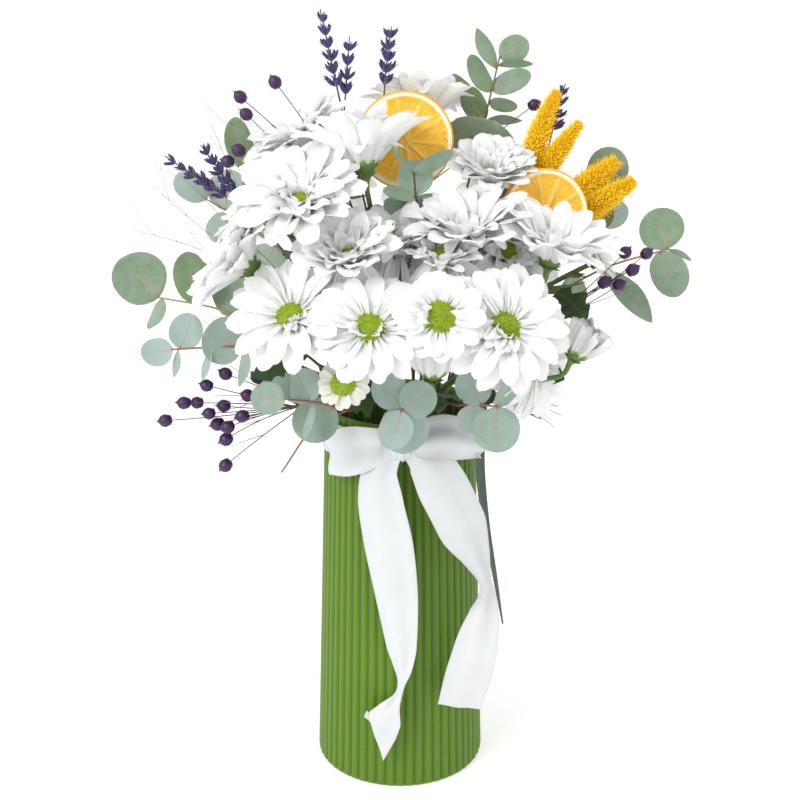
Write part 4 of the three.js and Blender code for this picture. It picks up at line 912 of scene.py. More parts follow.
# The ribbon: a band round the neck, a knot, two loops and two tails. Each strip has its
# stations: a place, the way across and a width. The left tail turns on edge over its end,
# and the right one where it swings back.
ribbon = {
    "thickness": 0.45 * mm, "columns": 13, "perStation": 7,
    "band": {"radius": 50.0 * mm, "bottom": 222 * mm, "top": 246 * mm, "drawnUp": 10 * mm, "sides": 96},
    "knot": {"at": (0.5, -56.5, 241), "size": (9.0, 7.5, 10.0), "sides": 40},
    "flatHalf": 16.5,                  # half the flat ribbon's width
    "leftLoop": [
        ((-4, -58, 242), (0, 0, 1), 16), ((-14, -62, 242), (0, -.1, 1), 26),
        ((-26, -60, 240), (-.05, 0, 1), 30), ((-37, -52, 235), (-.15, 0, 1), 31),
        ((-45.5, -42, 232), (-.2, 0, 1), 31), ((-46.5, -37, 231), (-.2, 0, 1), 31),
        ((-42, -35.5, 232), (-.15, 0, 1), 30), ((-30, -45, 235), (-.1, 0, 1), 28),
        ((-16, -53, 239), (0, 0, 1), 22), ((-4, -56, 241), (0, 0, 1), 15),
    ],
    "rightLoop": [
        ((5, -58, 244), (0, 0, 1), 16), ((14, -64, 248), (0, .35, 1), 24), ((26, -64, 250), (.1, .5, 1), 27),
        ((38, -56, 245), (.35, .5, 1), 25), ((47.5, -46, 238), (.3, .15, 1), 19),
        ((51, -40, 235), (.25, 0, 1), 15), ((45, -36.5, 233), (.25, 0, 1), 15),
        ((33, -44, 236), (0, 0, 1), 18), ((18, -53, 239), (0, 0, 1), 18), ((5, -56, 241), (0, 0, 1), 15),
    ],
    "leftTail": [
        ((-4, -59, 240), (1, 0, .3), 12), ((-12, -60.5, 226), (.95, -.1, .27), 22),
        ((-12, -61, 208), (.96, -.12, .24), 28), ((-7, -62, 178), (.95, -.18, .24), 31),
        ((-2, -62, 142), (.99, -.15, .08), 27), ((1, -63, 106), (.94, -.31, .1), 20),
        ((1.5, -63, 92), (.8, -.6, .1), 15), ((.5, -64, 80), (.35, -.93, 0), 12),
        ((-2, -65, 70), (.12, -.8, -.6), 14), ((-7, -64.5, 59), (.35, -.35, -.87), 20),
        ((-13, -63, 49), (.3, -.1, -.95), 25), ((-16, -62, 43), (.2, -.07, -.98), 26),
    ],
    "rightTail": [
        ((4, -59, 242), (1, 0, .3), 12), ((16, -60, 234), (.97, 0, -.1), 26),
        ((28, -60, 212), (.95, .16, -.2), 32), ((38, -61, 191), (.92, .26, -.2), 32),
        ((48, -61, 169), (.78, .6, -.1), 21), ((53, -61, 152), (.5, .85, .1), 14),
        ((53, -60, 134), (.84, .3, .4), 19), ((48.5, -61, 108), (.86, -.12, .4), 27),
        ((43, -61, 84), (.92, -.11, .32), 29), ((38, -60, 63), (.96, -.14, .14), 27),
    ],
}


def ribbonPiece(name, rows, half, along):
    columns = len(rows[0])
    shape = Shape().blade(rows, ribbon["thickness"], along=along,
                          across=[(2 * j / (columns - 1) - 1) * half * mm for j in range(columns)])
    piece = placed(name, shape.mesh(name, [satin]))
    finishPiece(piece, "ribbon", "ribbon")


def ribbonStrip(name, stations, cut=0.0, bow=0.0, pleats=0.0):
    # bow cups the strip, pleats gather it where it is narrow, and cut slants its free end
    per, columns = ribbon["perStation"], ribbon["columns"]
    frames = stripFrames(stations, per)
    rows, long, area = [], [0.0], 0.0
    for i, (place, along, over, normal, width) in enumerate(frames):
        gathered = max(0.0, 1.0 - width / (40 * mm))
        if i:
            step = (place - frames[i - 1][0]).length
            long.append(long[-1] + step)
            area += step * width
        last = max(0.0, (i - len(frames) + 1 + per) / per)
        row = []
        for j in range(columns):
            u = 2 * j / (columns - 1) - 1
            lift = bow * width * (1 - u * u) + pleats * gathered * math.cos(5.2 * u + 0.6) * 2.2 * mm
            row.append(place + over * (u * width / 2) + normal * lift + along * (cut * u * width * last))
        rows.append(row)
    third = len(rows) // 3
    up, over = rows[third + 1][0] - rows[third][0], rows[third][-1] - rows[third][0]
    if over.cross(up).y > 0:
        rows = [row[::-1] for row in rows]     # the bright side of the satin faces the front
    ribbonPiece(name, rows, ribbon["flatHalf"], long)


def ribbonBand():
    band, rows = ribbon["band"], []
    for i in range(band["sides"] + 1):
        turn = fullTurn * (i % band["sides"]) / band["sides"] - math.pi / 2
        low = band["bottom"] + band["drawnUp"] * max(0.0, -math.sin(turn)) ** 2
        row = []
        for j in range(7):
            u = j / 3 - 1
            reach = band["radius"] + 0.35 * mm * math.sin(3 * turn + 1.4 * u) * (1 - abs(u))
            row.append(Vector((reach * math.cos(turn), reach * math.sin(turn),
                               mixed(band["top"], low, (u + 1) / 2))))
        rows.append(row)
    length = fullTurn * band["radius"]
    ribbonPiece("ribbon_band", rows, 12, [length * i / band["sides"] for i in range(len(rows))])


def ribbonKnot():
    # the turn of ribbon that is pulled tight over the middle, with its pleats
    knot, rows = ribbon["knot"], []
    centre, (wide, deep, high) = point(knot["at"]), [size * mm for size in knot["size"]]
    for i in range(knot["sides"] + 1):
        turn = fullTurn * (i % knot["sides"]) / knot["sides"]
        row = []
        for j in range(17):
            u = 1 - j / 8
            pleat = 0.07 * math.cos(9.5 * u + 1.6 * math.sin(turn)) * (1 - u ** 8)
            waist = (1 - 0.22 * u ** 2 - 0.3 * u ** 8) * (0.9 + pleat)
            row.append(centre + Vector((
                u * wide * (0.86 + 0.1 * math.cos(turn)),
                deep * waist * math.cos(turn), high * waist * math.sin(turn))))
        rows.append(row)
    length = fullTurn * (deep + high) / 2
    ribbonPiece("ribbon_knot", rows, 9, [length * i / knot["sides"] for i in range(len(rows))])


ribbonBand()
ribbonKnot()
ribbonStrip("ribbon_left_loop", ribbon["leftLoop"], bow=0.08, pleats=1.7)
ribbonStrip("ribbon_right_loop", ribbon["rightLoop"], bow=0.1, pleats=1.9)
ribbonStrip("ribbon_left_tail", ribbon["leftTail"], cut=0.5, bow=0.03, pleats=0.7)
ribbonStrip("ribbon_right_tail", ribbon["rightTail"], cut=-0.1, bow=0.03, pleats=0.7)
print("ribbon ready")

petalShape = {
    "thickness": 0.018, "curl": (0.05, 0.5), "cross": (-0.05, 0.12), "notch": (0.0, 0.035), "groove": 0.02,
    "outline": ((0, .27), (.12, .33), (.3, .42), (.5, .48), (.7, .5), (.88, .45), (1, .32)),
    # curl, cross and notch of each petal in a set; an empty one draws its own
    "sets": {
        "white": (whitePetal, [()] * 10),
        "cream": (creamPetal, [(0.25, 0.1, 0.0), (0.4, 0.05, 0.02), (0.1, 0.12, 0.01)]),
        "bud": (budPetal, [(-0.35, 0.2, 0.02), (-0.5, 0.24, 0.0), (-0.2, 0.22, 0.03)]),
        "curled": (whitePetal, [(0.7, 0.2, 0.02), (1.0, 0.15, 0.0), (0.4, 0.2, 0.03)]),
    },
}


def keptShape(name, shape, material, collection=None):
    # a shape that a tree repeats
    piece = bpy.data.objects.new(name, shape.mesh(name, [material]))
    (collection or scene.collection).objects.link(piece)
    return piece


def petalBlade(seed, curl=None, cross=None, notch=None):
    # one ray floret, 1 long and 1 wide, with two grooves and a notched tip
    draw = random.Random(seed)
    curl = draw.uniform(*petalShape["curl"]) if curl is None else curl
    cross = draw.uniform(*petalShape["cross"]) if cross is None else cross
    notch = draw.uniform(*petalShape["notch"]) if notch is None else notch
    lean, twist, uneven = draw.uniform(-0.05, 0.05), draw.uniform(-0.2, 0.2), draw.uniform(-0.03, 0.03)
    rows = []
    for t, half in petalShape["outline"]:
        row = []
        for u in (-1, -0.7, -0.36, 0, 0.36, 0.7, 1):
            tip = 0.1 * u * u + notch * math.exp(-((abs(u) - 0.36) / 0.2) ** 2) + uneven * u
            x = t - tip * t ** 3
            y = half * u + lean * t * t
            z = (0.16 * (1 - t) + cross * t) * u * u
            z -= petalShape["groove"] * math.exp(-((abs(u) - 0.36) / 0.16) ** 2) * min(1, 4 * t) * (1 - 0.5 * t)
            c, s = math.cos(twist * t), math.sin(twist * t)
            y, z = y * c - z * s * 0.4, z * c + y * s * 0.4
            bend = curl * t * t
            row.append(Vector((x * math.cos(bend) + z * math.sin(bend), y,
                               z * math.cos(bend) - x * math.sin(bend))))
        rows.append(row)
    return Shape().blade(rows, petalShape["thickness"])


def keptCollection(name):
    collection = bpy.data.collections.new(name)
    scene.collection.children.link(collection)
    return collection


petalSets = {name: keptCollection(name + "_petals") for name in petalShape["sets"]}
for name, (material, forms) in petalShape["sets"].items():
    for k, form in enumerate(forms):
        keptShape(f"{name}_petals_{k}", petalBlade(k + 3, *form), material, petalSets[name])
bracts = keptCollection("bracts")
keptShape("bract", Shape().blade([
    [Vector((t - 0.25 * u * u * t, half * u, 0.16 * u * u - 0.2 * t * t)) for u in (-1, 0, 1)]
    for t, half in ((0, .5), (.35, .5), (.7, .34), (1, .08))], 0.06), greenStem, bracts)
floret = keptShape("floret", Shape().turned(
    [(0, -0.3), (.34, -0.1), (.5, .45), (.4, .85), (0, .72)], 5), discFlorets)

daisy = {
    "ring": 8.8, "innerRing": 8.4, "ringInset": 0.3, "cupSpread": 5.0,
    "disc": {"florets": 240, "radius": 9.0, "dome": 2.8, "size": 1.45},
    "cup": ((0, -13), (1.5, -12.5), (1.9, -9.6), (3.1, -7.2), (4.6, -4.8), (6.6, -2.2), (8.6, -0.6),
            (8.9, 0.6), (6.6, 2.4), (0, 3.4)),
    "stem": 2.3, "branch": 1.7,
}
# A bloom as most are; lift is how far its petals stand up beyond its cup, in degrees. Small
# curled petals lean in over the disc: each group has its first and last turn, in degrees
# from the right-hand side, its count, length and cup.
plainBloom = {"set": "white", "disc": 1, "count": 23, "layers": 2, "cupStep": 15, "lift": 2, "longer": 0,
              "width": 13.2, "inner": []}


def double(lift, longer, hanging=0):
    # a full bloom; the hanging petals cover the stems below its front
    inner = [(0, 360, 9, 20, 72), (0, 360, 7, 15, 94), (0, 360, 7, 12, 124)]
    return {"count": 30, "layers": 3, "cupStep": 11, "lift": lift, "longer": longer, "width": 14.6,
            "inner": inner + ([(205, 335, 8, hanging, -26)] if hanging else [])}


# each bloom's place, the way it faces (azimuth, elevation), its cup in degrees, the length of
# its petals, and what sets it apart
bloomTable = {
    "front_left": ((-61, -95, 333), (-20, 48), 14, 29, {"inner": [(-80, 0, 5, 11, 84), (-70, -20, 3, 9, 118)]}),
    "front": ((-17, -111, 331), (-2, 42), 10, 28, {
        "count": 24, "longer": -1, "inner": [(190, 235, 3, 9, 118), (305, 350, 3, 9, 118)]}),
    "front_inner": ((22, -112, 338), (5, 32), 14, 26, {
        "count": 22, "longer": -8, "inner": [(150, 210, 3, 9, 112)]}),
    "front_right": ((58, -105, 330), (14, 28), 8, 29, {
        "count": 24, "inner": [(170, 290, 7, 12, 82), (185, 265, 4, 11, 112)]}),
    "front_small": ((-32, -104, 297), (-5, 22), 10, 9, {"disc": .72, "set": "cream", "count": 17, "width": 6}),
    "front_low": ((19, -80, 297), (0, 76), 48, 25, {"set": "bud", "count": 18, "longer": 4, "width": 9.5}),
    "right_bud": ((103, -72, 305), (85, 58), 56, 20, {
        "disc": .8, "set": "bud", "count": 24, "layers": 3, "cupStep": 9, "width": 6.4}),
    "right_low": ((80, -66, 296), (42, -6), 4, 26, {"count": 20}),
    "top_centre": ((-21, -40, 409), (-150, 74), 26, 31, double(25, 9)),
    "top_left": ((-58, -6, 416), (-75, 62), 20, 27, double(12, 4)),
    "left_high": ((-57, -60, 390), (-12, 56), 18, 29, double(14, 6)),
    "left_back": ((-76, -34, 378), (-98, 46), 26, 27, double(10, 3)),
    "left_low": ((-88, -66, 356), (-82, 36), 20, 29, double(16, 5)),
    "top_back": ((12, 24, 428), (175, 68), 32, 27, double(6, 3)),
    "right_high": ((40, -58, 368), (-20, 74), 38, 31, double(8, 3)),
    "right_top": ((54, -14, 396), (10, 70), 36, 27, double(10, -2)),
    "right_upper": ((87, -66, 361), (52, 72), 22, 28, double(20, 6)),
    "centre_left": ((-29, -78, 362), (-20, 62), 34, 22, double(10, 5, 27)),
    "centre": ((0, -56, 362), (0, 76), 46, 25, double(4, 4, 30)),
    "centre_right": ((24, -74, 361), (12, 66), 48, 14, {
        "count": 24, "layers": 3, "longer": 4, "width": 8,
        "inner": [(0, 360, 8, 14, 84), (0, 360, 6, 10, 114), (205, 335, 8, 26, -26)]}),
    "right_inner": ((62, -42, 359), (8, 16), 2, 25, {
        "count": 20, "lift": 34,
        "inner": [(0, 360, 8, 20, 84), (0, 360, 7, 15, 112), (0, 360, 6, 12, 136)]}),
    "right_back": ((117, -32, 350), (75, 30), 10, 25, {
        "disc": .6, "count": 16, "lift": 20, "longer": -12, "width": 8}),
    "back_left": ((-52, 66, 368), (205, 40), 14, 28, {}),
    "back": ((8, 88, 340), (180, 32), 12, 28, {}),
    "back_right": ((70, 60, 366), (150, 42), 14, 28, {}),
}
blooms = {name: {**plainBloom, "at": at, "face": face, "cup": cup, "length": length, **more}
          for name, (at, face, cup, length, more) in bloomTable.items()}


def bloomMatrix(bloom):
    axis = heading(*bloom["face"])
    side = Vector((0, 0, 1)).cross(axis).normalized()
    turned = Matrix((side, axis.cross(side), axis)).transposed().to_4x4()
    return Matrix.Translation(point(bloom["at"])) @ turned


def bloomPetals(name, bloom, seed):
    scale = bloom["disc"]
    meshes = [runTree(petalRing, {
        "Petals": petalSets[bloom["set"]], "Count": bloom["count"], "Layers": bloom["layers"],
        "Ring": daisy["ring"] * scale * mm, "Cup": math.radians(bloom["cup"] + bloom["lift"]),
        "Cup Step": math.radians(bloom["cupStep"]), "Cup Spread": math.radians(daisy["cupSpread"]),
        "Length": (bloom["length"] + bloom["longer"] + daisy["ringInset"] * scale) * mm,
        "Width": bloom["width"] * mm, "Seed": seed, "Material": petalShape["sets"][bloom["set"]][0],
    })]
    for start, end, count, length, cup in bloom["inner"]:
        meshes.append(runTree(petalRing, {
            "Petals": petalSets["curled"], "Count": count, "Layers": 1,
            "Ring": daisy["innerRing"] * scale * mm, "Height": 0.8 * mm, "Start": math.radians(start),
            "Arc": math.radians(end - start), "Cup": math.radians(cup), "Cup Spread": 0.15,
            "Turn Spread": 0.12, "Length": length * mm, "Width": min(9.5, 0.6 * length) * mm,
            "Seed": seed + start + 50, "Material": whitePetal,
        }))
    piece = joined("bloom_" + name, meshes)
    piece.data.transform(bloomMatrix(bloom))
    finishPiece(piece, "petal", "daisy_petals_" + name)


def bloomHeart(bloom, seed):
    # the disc, the green cup under it and its bracts, as meshes in their place
    scale, disc = bloom["disc"], daisy["disc"]
    meshes = [runTree(discSpiral, {
        "Floret": floret, "Florets": int(disc["florets"] * scale), "Radius": disc["radius"] * scale * mm,
        "Height": 1.2 * scale * mm, "Dome": disc["dome"] * scale * mm, "Size": disc["size"] * mm,
        "Seed": seed, "Material": discFlorets,
    })]
    profile = [(radius * scale * mm, height * scale * mm) for radius, height in daisy["cup"]]
    meshes.append(Shape().turned(profile, 16).mesh("cup", [greenStem]))
    meshes.append(runTree(petalRing, {
        "Petals": bracts, "Count": 24, "Layers": 2, "Ring": 2.8 * scale * mm, "Height": -7.4 * scale * mm,
        "Cup": math.radians(42), "Cup Step": math.radians(10), "Length": 6.2 * scale * mm,
        "Width": 2.6 * scale * mm, "Shortening": 0.25, "Seed": seed, "Material": greenStem,
    }))
    for mesh in meshes:
        mesh.transform(bloomMatrix(bloom))
    return meshes


for order, (name, bloom) in enumerate(blooms.items()):
    bloomPetals(name, bloom, order + 1)
print("blooms ready")

leafOutlines = {
    # part of the length, part of the half width
    "round": [(0, .05), (.03, .3), (.09, .56), (.18, .79), (.3, .94), (.44, 1), (.58, .99), (.72, .9),
              (.84, .73), (.93, .5), (.98, .26), (1, .04)],
    "narrow": [(0, .06), (.06, .3), (.16, .58), (.3, .85), (.46, 1), (.6, .97), (.74, .8), (.86, .54),
               (.95, .26), (1, .03)],
    "lobed": [(0, .07), (.08, .12), (.16, .3), (.24, .66), (.3, .72), (.35, .5), (.4, .42), (.47, .74),
              (.55, 1), (.61, .95), (.67, .62), (.73, .56), (.8, .72), (.86, .52), (.93, .3), (1, .04)],
}


def addLeaf(shape, stems, draw, tint, root, tip, width, roll=0, kind="round", face=None):
    # a leaf from its foot on a stem to its tip, and the short stalk that carries it
    root, width, lobed = nearestOn(stems, point(root)), width * mm, kind == "lobed"
    along = point(tip) - root
    length = along.length
    along.normalize()
    towards = Vector(face) if face else heading(0, 12)
    normal = (towards - along * towards.dot(along)).normalized()
    normal = Quaternion(along, math.radians(roll)) @ normal
    across = along.cross(normal)
    start = 0.05 if lobed else 0.03
    fold, sway = draw.uniform(0.05, 0.16), draw.uniform(-0.05, 0.05)
    ripple, phase = draw.uniform(0.01, 0.035), draw.uniform(0, 6)
    rows = []
    for part, share in leafOutlines[kind]:
        run = start + (1 - start) * part
        spine = root + along * (run * length) - normal * (0.08 * length * 4 * run * (1 - run))
        spine += across * (sway * length * math.sin(math.pi * part))
        row = []
        for u in (-1, -0.72, -0.4, -0.13, 0.13, 0.4, 0.72, 1):
            reach = u * share * width / 2
            lobe = (0.035 * math.cos(9 * part) if lobed else -0.03) * length * u * u
            lift = fold * abs(reach) + ripple * width * math.sin(7 * part + 2.5 * u + phase) * u * u
            row.append(spine + across * reach + normal * lift + along * lobe * (1 - part))
        rows.append(row)
    shape.blade(rows, 0.5 * mm, tint, along=[part for part, _ in leafOutlines[kind]])
    base, inner = [row[3].lerp(row[4], 0.5) for row in (rows[0], rows[2])]
    shape.tube([root, root.lerp(base, 0.5), base, inner],
               [radius * mm for radius in (0.8, 0.65, 0.55, 0.2)], 6, 0.3, 1)


# The sprays: a stem with its branches, and the places that a branch passes on its way. Each
# leaf has its root, its tip and its width; the neck leaves stand low and close the mouth of
# the vase to the front.
freshFoot, dryFoot, neckLevel = 16, 126, 255
back = {"face": (0, 1, 0.3)}
sprays = {
    "front": {
        "main": [(0, -22, freshFoot), (0, -27, neckLevel), (-2, -44, 276)],
        "branches": {"front": [], "front_inner": [], "front_small": [], "front_low": []},
        "leaves": [((-12, -58, 292), (-22, -76, 279), 14)],
        "neckLeaves": [((-3, -46, 270), (-32, -70, 274), 25), ((2, -46, 270), (28, -70, 273), 25),
                       ((0, -50, 276), (-6, -82, 282), 22)],
    },
    "left": {
        "main": [(-18, -10, freshFoot), (-21, -13, neckLevel), (-38, -32, 306)],
        "branches": {"front_left": [], "left_low": [], "left_back": [(-52, -30, 345)],
                     "left_high": [(-46, -38, 350)], "top_left": [(-48, -18, 360)]},
        "leaves": [((-52, -58, 315), (-86, -78, 292), 20)],
        "neckLeaves": [((-26, -20, 266), (-50, -50, 270), 24)],
    },
    "upper": {
        "main": [(0, 0, freshFoot), (0, 0, neckLevel), (-3, -14, 318)],
        "branches": {"centre_left": [], "centre": [], "centre_right": [],
                     "top_centre": [(-14, -26, 366)], "top_back": [(4, 6, 372)]},
    },
    "right": {
        "main": [(19, -12, freshFoot), (22, -18, neckLevel), (42, -44, 286)],
        "branches": {"front_right": [], "right_low": [], "right_bud": []},
        "leaves": [((70, -52, 300), (98, -60, 285), 18)],
        "neckLeaves": [((32, -34, 268), (58, -56, 272), 24)],
    },
    "upper_right": {
        "main": [(14, 1, freshFoot), (17, -1, neckLevel), (42, -22, 318)],
        "branches": {"right_high": [], "right_top": [], "right_upper": [], "right_inner": [], "right_back": []},
        "leaves": [((88, -30, 336), (112, -44, 316), 22)],
    },
    "back": {
        "main": [(0, 22, freshFoot), (0, 27, neckLevel), (4, 44, 296)],
        "branches": {"back_left": [], "back": [], "back_right": []},
        "leaves": [((-20, 56, 322), (-42, 84, 318), 22, back), ((34, 58, 318), (58, 86, 312), 22, back)],
    },
}


def sprayLines(spray):
    main = stemPlaces(spray["main"])
    before, end = stemPlaces(spray["main"], 2)[-2:]
    lines = [main]
    for i, (name, between) in enumerate(spray["branches"].items()):
        axis, centre = heading(*blooms[name]["face"]), point(blooms[name]["at"])
        collar = centre - axis * 7 * blooms[name]["disc"] * mm
        fork = mixed(end, before, 0.16 * i)
        rough = [fork] + [point(p) for p in between] + [centre - axis * 17 * mm, collar]
        lines.append(smoothLine(rough, 5 if between else 4))
    return lines


def overBloom(place, bloom):
    # whether a place stands in or over a bloom, where a leaf would hide it
    offset, axis = place - point(bloom["at"]), heading(*bloom["face"])
    return offset.dot(axis) > -7 * mm and (offset - axis * offset.dot(axis)).length < (bloom["length"] + 4) * mm


def innerLeaves(lines, draw):
    # the leaves that stand between the blooms, two on each branch, out and up from its stem
    leaves = []
    for line in lines[1:]:
        for share in (0.42, 0.7):
            root = line[int(share * (len(line) - 1))]
            for _ in range(12):
                turn = draw.uniform(-1.6, 1.6)
                out = Matrix.Rotation(turn, 3, "Z") @ Vector((root.x, root.y - 0.01, 0.0)).normalized()
                rise = Vector((0, 0, draw.uniform(-0.2, 0.8)))
                tip = root + (out + rise).normalized() * draw.uniform(18, 30) * mm
                if not any(overBloom(place, bloom) for bloom in blooms.values()
                           for place in (tip, root.lerp(tip, 0.6))):
                    leaves.append((root / mm, tip / mm, draw.uniform(13, 19),
                                   {"face": out * -0.3 + Vector((0, 0, 1))}))
                    break
    return leaves


for order, (name, spray) in enumerate(sprays.items()):
    lines = sprayLines(spray)
    stem, branch = daisy["stem"], daisy["branch"]
    meshes = [tubesOf([(lines[0], stem, stem * 0.9, 0.4)]
                      + [(line, branch, branch * 0.92, 0.6) for line in lines[1:]], greenStem, 6, 0.88)]
    for k, bloomName in enumerate(spray["branches"]):
        meshes += bloomHeart(blooms[bloomName], 10 * order + k)
    shape, draw = Shape(), random.Random(order * 7)
    leaves = spray.get("leaves", []) + innerLeaves(lines, draw) + spray.get("neckLeaves", [])
    for root, tip, width, *more in leaves:
        tint = draw.uniform(0.1, 0.7)
        addLeaf(shape, lines, draw, tint, root, tip, width, kind="lobed", **(more[0] if more else {}))
    meshes.append(shape.mesh("leaves", [daisyLeaf, greenStem]))
    finishPiece(joined("spray_" + name, meshes), "daisy_stem", "daisy_spray_" + name)
print("sprays ready")

# Eucalyptus. Tone 0 is blue grey and 1 is leaf green, the mean of a sprig's leaves; twig is
# the same for its bark, from red to tan. Each leaf has its root, tip and width, and where it
# needs them its roll in degrees, its outline and the way it faces.
eucalyptusLook = {"radius": 1.15, "side": 0.75, "tip": 0.5, "toneSpread": 0.22}
narrow, plain = "narrow", "round"
eucalyptus = {
    "front": {
        "tone": .12, "twig": .15,
        "paths": [[(5, -33, freshFoot), (5, -37, neckLevel), (3, -60, 268), (1, -84, 279), (1, -93, 277)]],
        "leaves": [
            ((1, -91, 277), (-11, -86, 299), 21), ((1, -92, 277), (20, -90, 289), 22),
            ((1, -94, 276), (-7, -99, 256), 20), ((2, -86, 275), (3, -82, 246), 28),
        ],
    },
    "front_right": {
        "tone": .2, "twig": .15,
        "paths": [[(22, -27, freshFoot), (24, -30, neckLevel), (34, -58, 268), (47, -86, 278), (57, -89, 278)]],
        "leaves": [
            ((47, -86, 278), (39, -82, 300), 21), ((55, -88, 279), (71, -86, 292), 14, 40),
            ((56, -90, 277), (57, -93, 251), 28), ((44, -82, 274), (42, -74, 256), 20),
        ],
    },
    "front_left": {
        "tone": .25, "twig": .15,
        "paths": [[(-18, -29, freshFoot), (-20, -32, neckLevel), (-32, -62, 266), (-46, -80, 277), (-66, -90, 283)],
                  [(-32, -62, 266), (-50, -64, 258), (-71, -74, 231)]],
        "leaves": [
            ((-66, -90, 283), (-86, -92, 285), 19), ((-64, -89, 283), (-65, -91, 300), 13, 72, narrow),
            ((-52, -84, 279), (-60, -84, 299), 24), ((-50, -85, 279), (-56, -92, 259), 11, 60, narrow),
            ((-38, -72, 271), (-62, -78, 258), 27),
        ],
    },
    "left": {
        "tone": .2, "twig": .15,
        "paths": [[(-30, -13, freshFoot), (-34, -15, neckLevel), (-64, -44, 290), (-92, -57, 304), (-134, -61, 304)]],
        "leaves": [
            ((-134, -61, 304), (-153, -62, 302), 17), ((-131, -62, 304), (-134, -66, 288), 12, 60, narrow),
            ((-130, -60, 304), (-123, -54, 324), 20), ((-112, -61, 304), (-117, -66, 286), 12, 60, narrow),
            ((-92, -60, 306), (-116, -64, 313), 29), ((-92, -59, 303), (-95, -68, 283), 12, 50, narrow),
            ((-80, -52, 298), (-66, -60, 278), 20),
        ],
    },
    "left_high": {
        "tone": .75, "twig": .8,
        "paths": [[(-32, -4, freshFoot), (-37, -4, neckLevel), (-72, -16, 296), (-108, -26, 318), (-147, -22, 325)]],
        "leaves": [
            ((-147, -22, 325), (-170, -26, 349), 33), ((-145, -23, 325), (-153, -32, 308), 14, 50),
            ((-122, -28, 322), (-129, -24, 354), 23), ((-100, -22, 314), (-112, -2, 338), 24),
        ],
    },
    "top_left": {
        "tone": 1, "twig": .15,
        "paths": [[(-13, -3, freshFoot), (-15, -3, neckLevel), (-28, -8, 330), (-60, 8, 372), (-92, -4, 400)],
                  [(-28, -8, 330), (-34, -24, 360), (-30, -38, 372)]],
        "leaves": [
            ((-92, -4, 400), (-99, -6, 432), 17), ((-31, -36, 371), (-46, -42, 385), 18),
            ((-30, -38, 372), (-12, -44, 387), 9, 50, narrow), ((-72, 6, 382), (-98, 22, 388), 22),
        ],
    },
    "centre": {
        "tone": .6, "twig": .9,
        "paths": [[(8, -13, freshFoot), (8, -14, neckLevel), (10, -26, 322), (11, -38, 364), (8, -46, 406)]],
        "leaves": [
            ((8, -46, 406), (-5, -54, 424), 7, 55, narrow), ((8, -45, 405), (30, -48, 419), 12, 40),
            ((9, -42, 392), (7, -36, 412), 21), ((9, -44, 391), (-10, -52, 397), 9, 30),
            ((11, -40, 375), (-9, -46, 390), 13), ((11, -41, 373), (27, -46, 380), 9, 50),
            ((10, -42, 390), (26, -38, 380), 14),
        ],
    },
    "top_right": {
        "tone": .8, "twig": .6,
        "paths": [[(11, 17, freshFoot), (13, 19, neckLevel), (32, 30, 340), (50, 30, 414), (61, 30, 463)]],
        "leaves": [
            ((60, 32, 456), (47, 36, 480), 11, 20, narrow), ((61, 30, 463), (78, 27, 473), 17),
            ((60, 29, 458), (81, 22, 460), 8, 50, narrow), ((52, 31, 430), (32, 38, 452), 12, 20),
            ((52, 29, 424), (40, 23, 446), 15), ((56, 32, 442), (43, 34, 464), 13, 20),
            ((57, 29, 443), (80, 25, 454), 14), ((55, 31, 436), (73, 35, 432), 9, 20),
            ((52, 28, 424), (75, 21, 426), 9, 50, narrow), ((47, 29, 400), (56, 6, 428), 44),
            ((46, 30, 404), (30, 20, 424), 18),
        ],
    },
    "right": {
        "tone": .75, "twig": .5,
        "paths": [[(31, -4, freshFoot), (36, -4, neckLevel), (76, -8, 306), (122, -14, 340), (163, -13, 353)],
                  [(76, -8, 306), (102, 8, 346), (124, 22, 384)]],
        "leaves": [
            ((163, -12, 353), (155, -8, 377), 28), ((158, -16, 353), (169, -24, 326), 23),
            ((163, -13, 353), (178, -14, 346), 7, 60, narrow),
            ((124, -17, 341), (153, -32, 312), 15, 0, narrow), ((124, 22, 384), (135, 26, 408), 26),
            ((112, 14, 364), (132, 10, 374), 22), ((98, -10, 326), (118, 8, 318), 22),
        ],
    },
    "back_left": {
        "tone": .5, "twig": .15,
        "paths": [[(-17, 24, freshFoot), (-20, 28, neckLevel), (-52, 60, 306), (-96, 78, 344), (-128, 74, 366)]],
        "leaves": [
            ((-128, 74, 366), (-146, 66, 384), 22, 0, plain, (0, 1, .2)),
            ((-116, 76, 358), (-112, 84, 384), 26, 0, plain, (0, 1, .2)),
            ((-112, 77, 355), (-126, 86, 334), 24, 0, plain, (0, 1, .2)),
            ((-88, 76, 338), (-88, 90, 364), 28, 0, plain, (0, 1, .3)),
            ((-84, 75, 334), (-96, 88, 312), 26, 0, plain, (0, 1, .2)),
            ((-58, 63, 311), (-48, 84, 290), 28, 0, plain, (0, 1, .1)),
            ((-44, 54, 300), (-66, 46, 288), 26, 0, plain, (0, 1, .1)),
        ],
    },
    "back_right": {
        "tone": .4, "twig": .15,
        "paths": [[(16, 25, freshFoot), (19, 29, neckLevel), (50, 66, 304), (92, 82, 336), (128, 76, 352)]],
        "leaves": [
            ((128, 76, 352), (150, 68, 362), 23, 0, plain, (0, 1, .2)),
            ((116, 80, 346), (118, 88, 372), 26, 0, plain, (0, 1, .2)),
            ((112, 80, 344), (124, 90, 322), 24, 0, plain, (0, 1, .2)),
            ((88, 82, 334), (92, 96, 360), 27, 0, plain, (0, 1, .3)),
            ((84, 81, 330), (94, 96, 306), 28, 0, plain, (0, 1, .2)),
            ((56, 70, 308), (46, 92, 288), 28, 0, plain, (0, 1, .1)),
            ((42, 58, 296), (66, 52, 282), 26, 0, plain, (0, 1, .1)),
        ],
    },
}

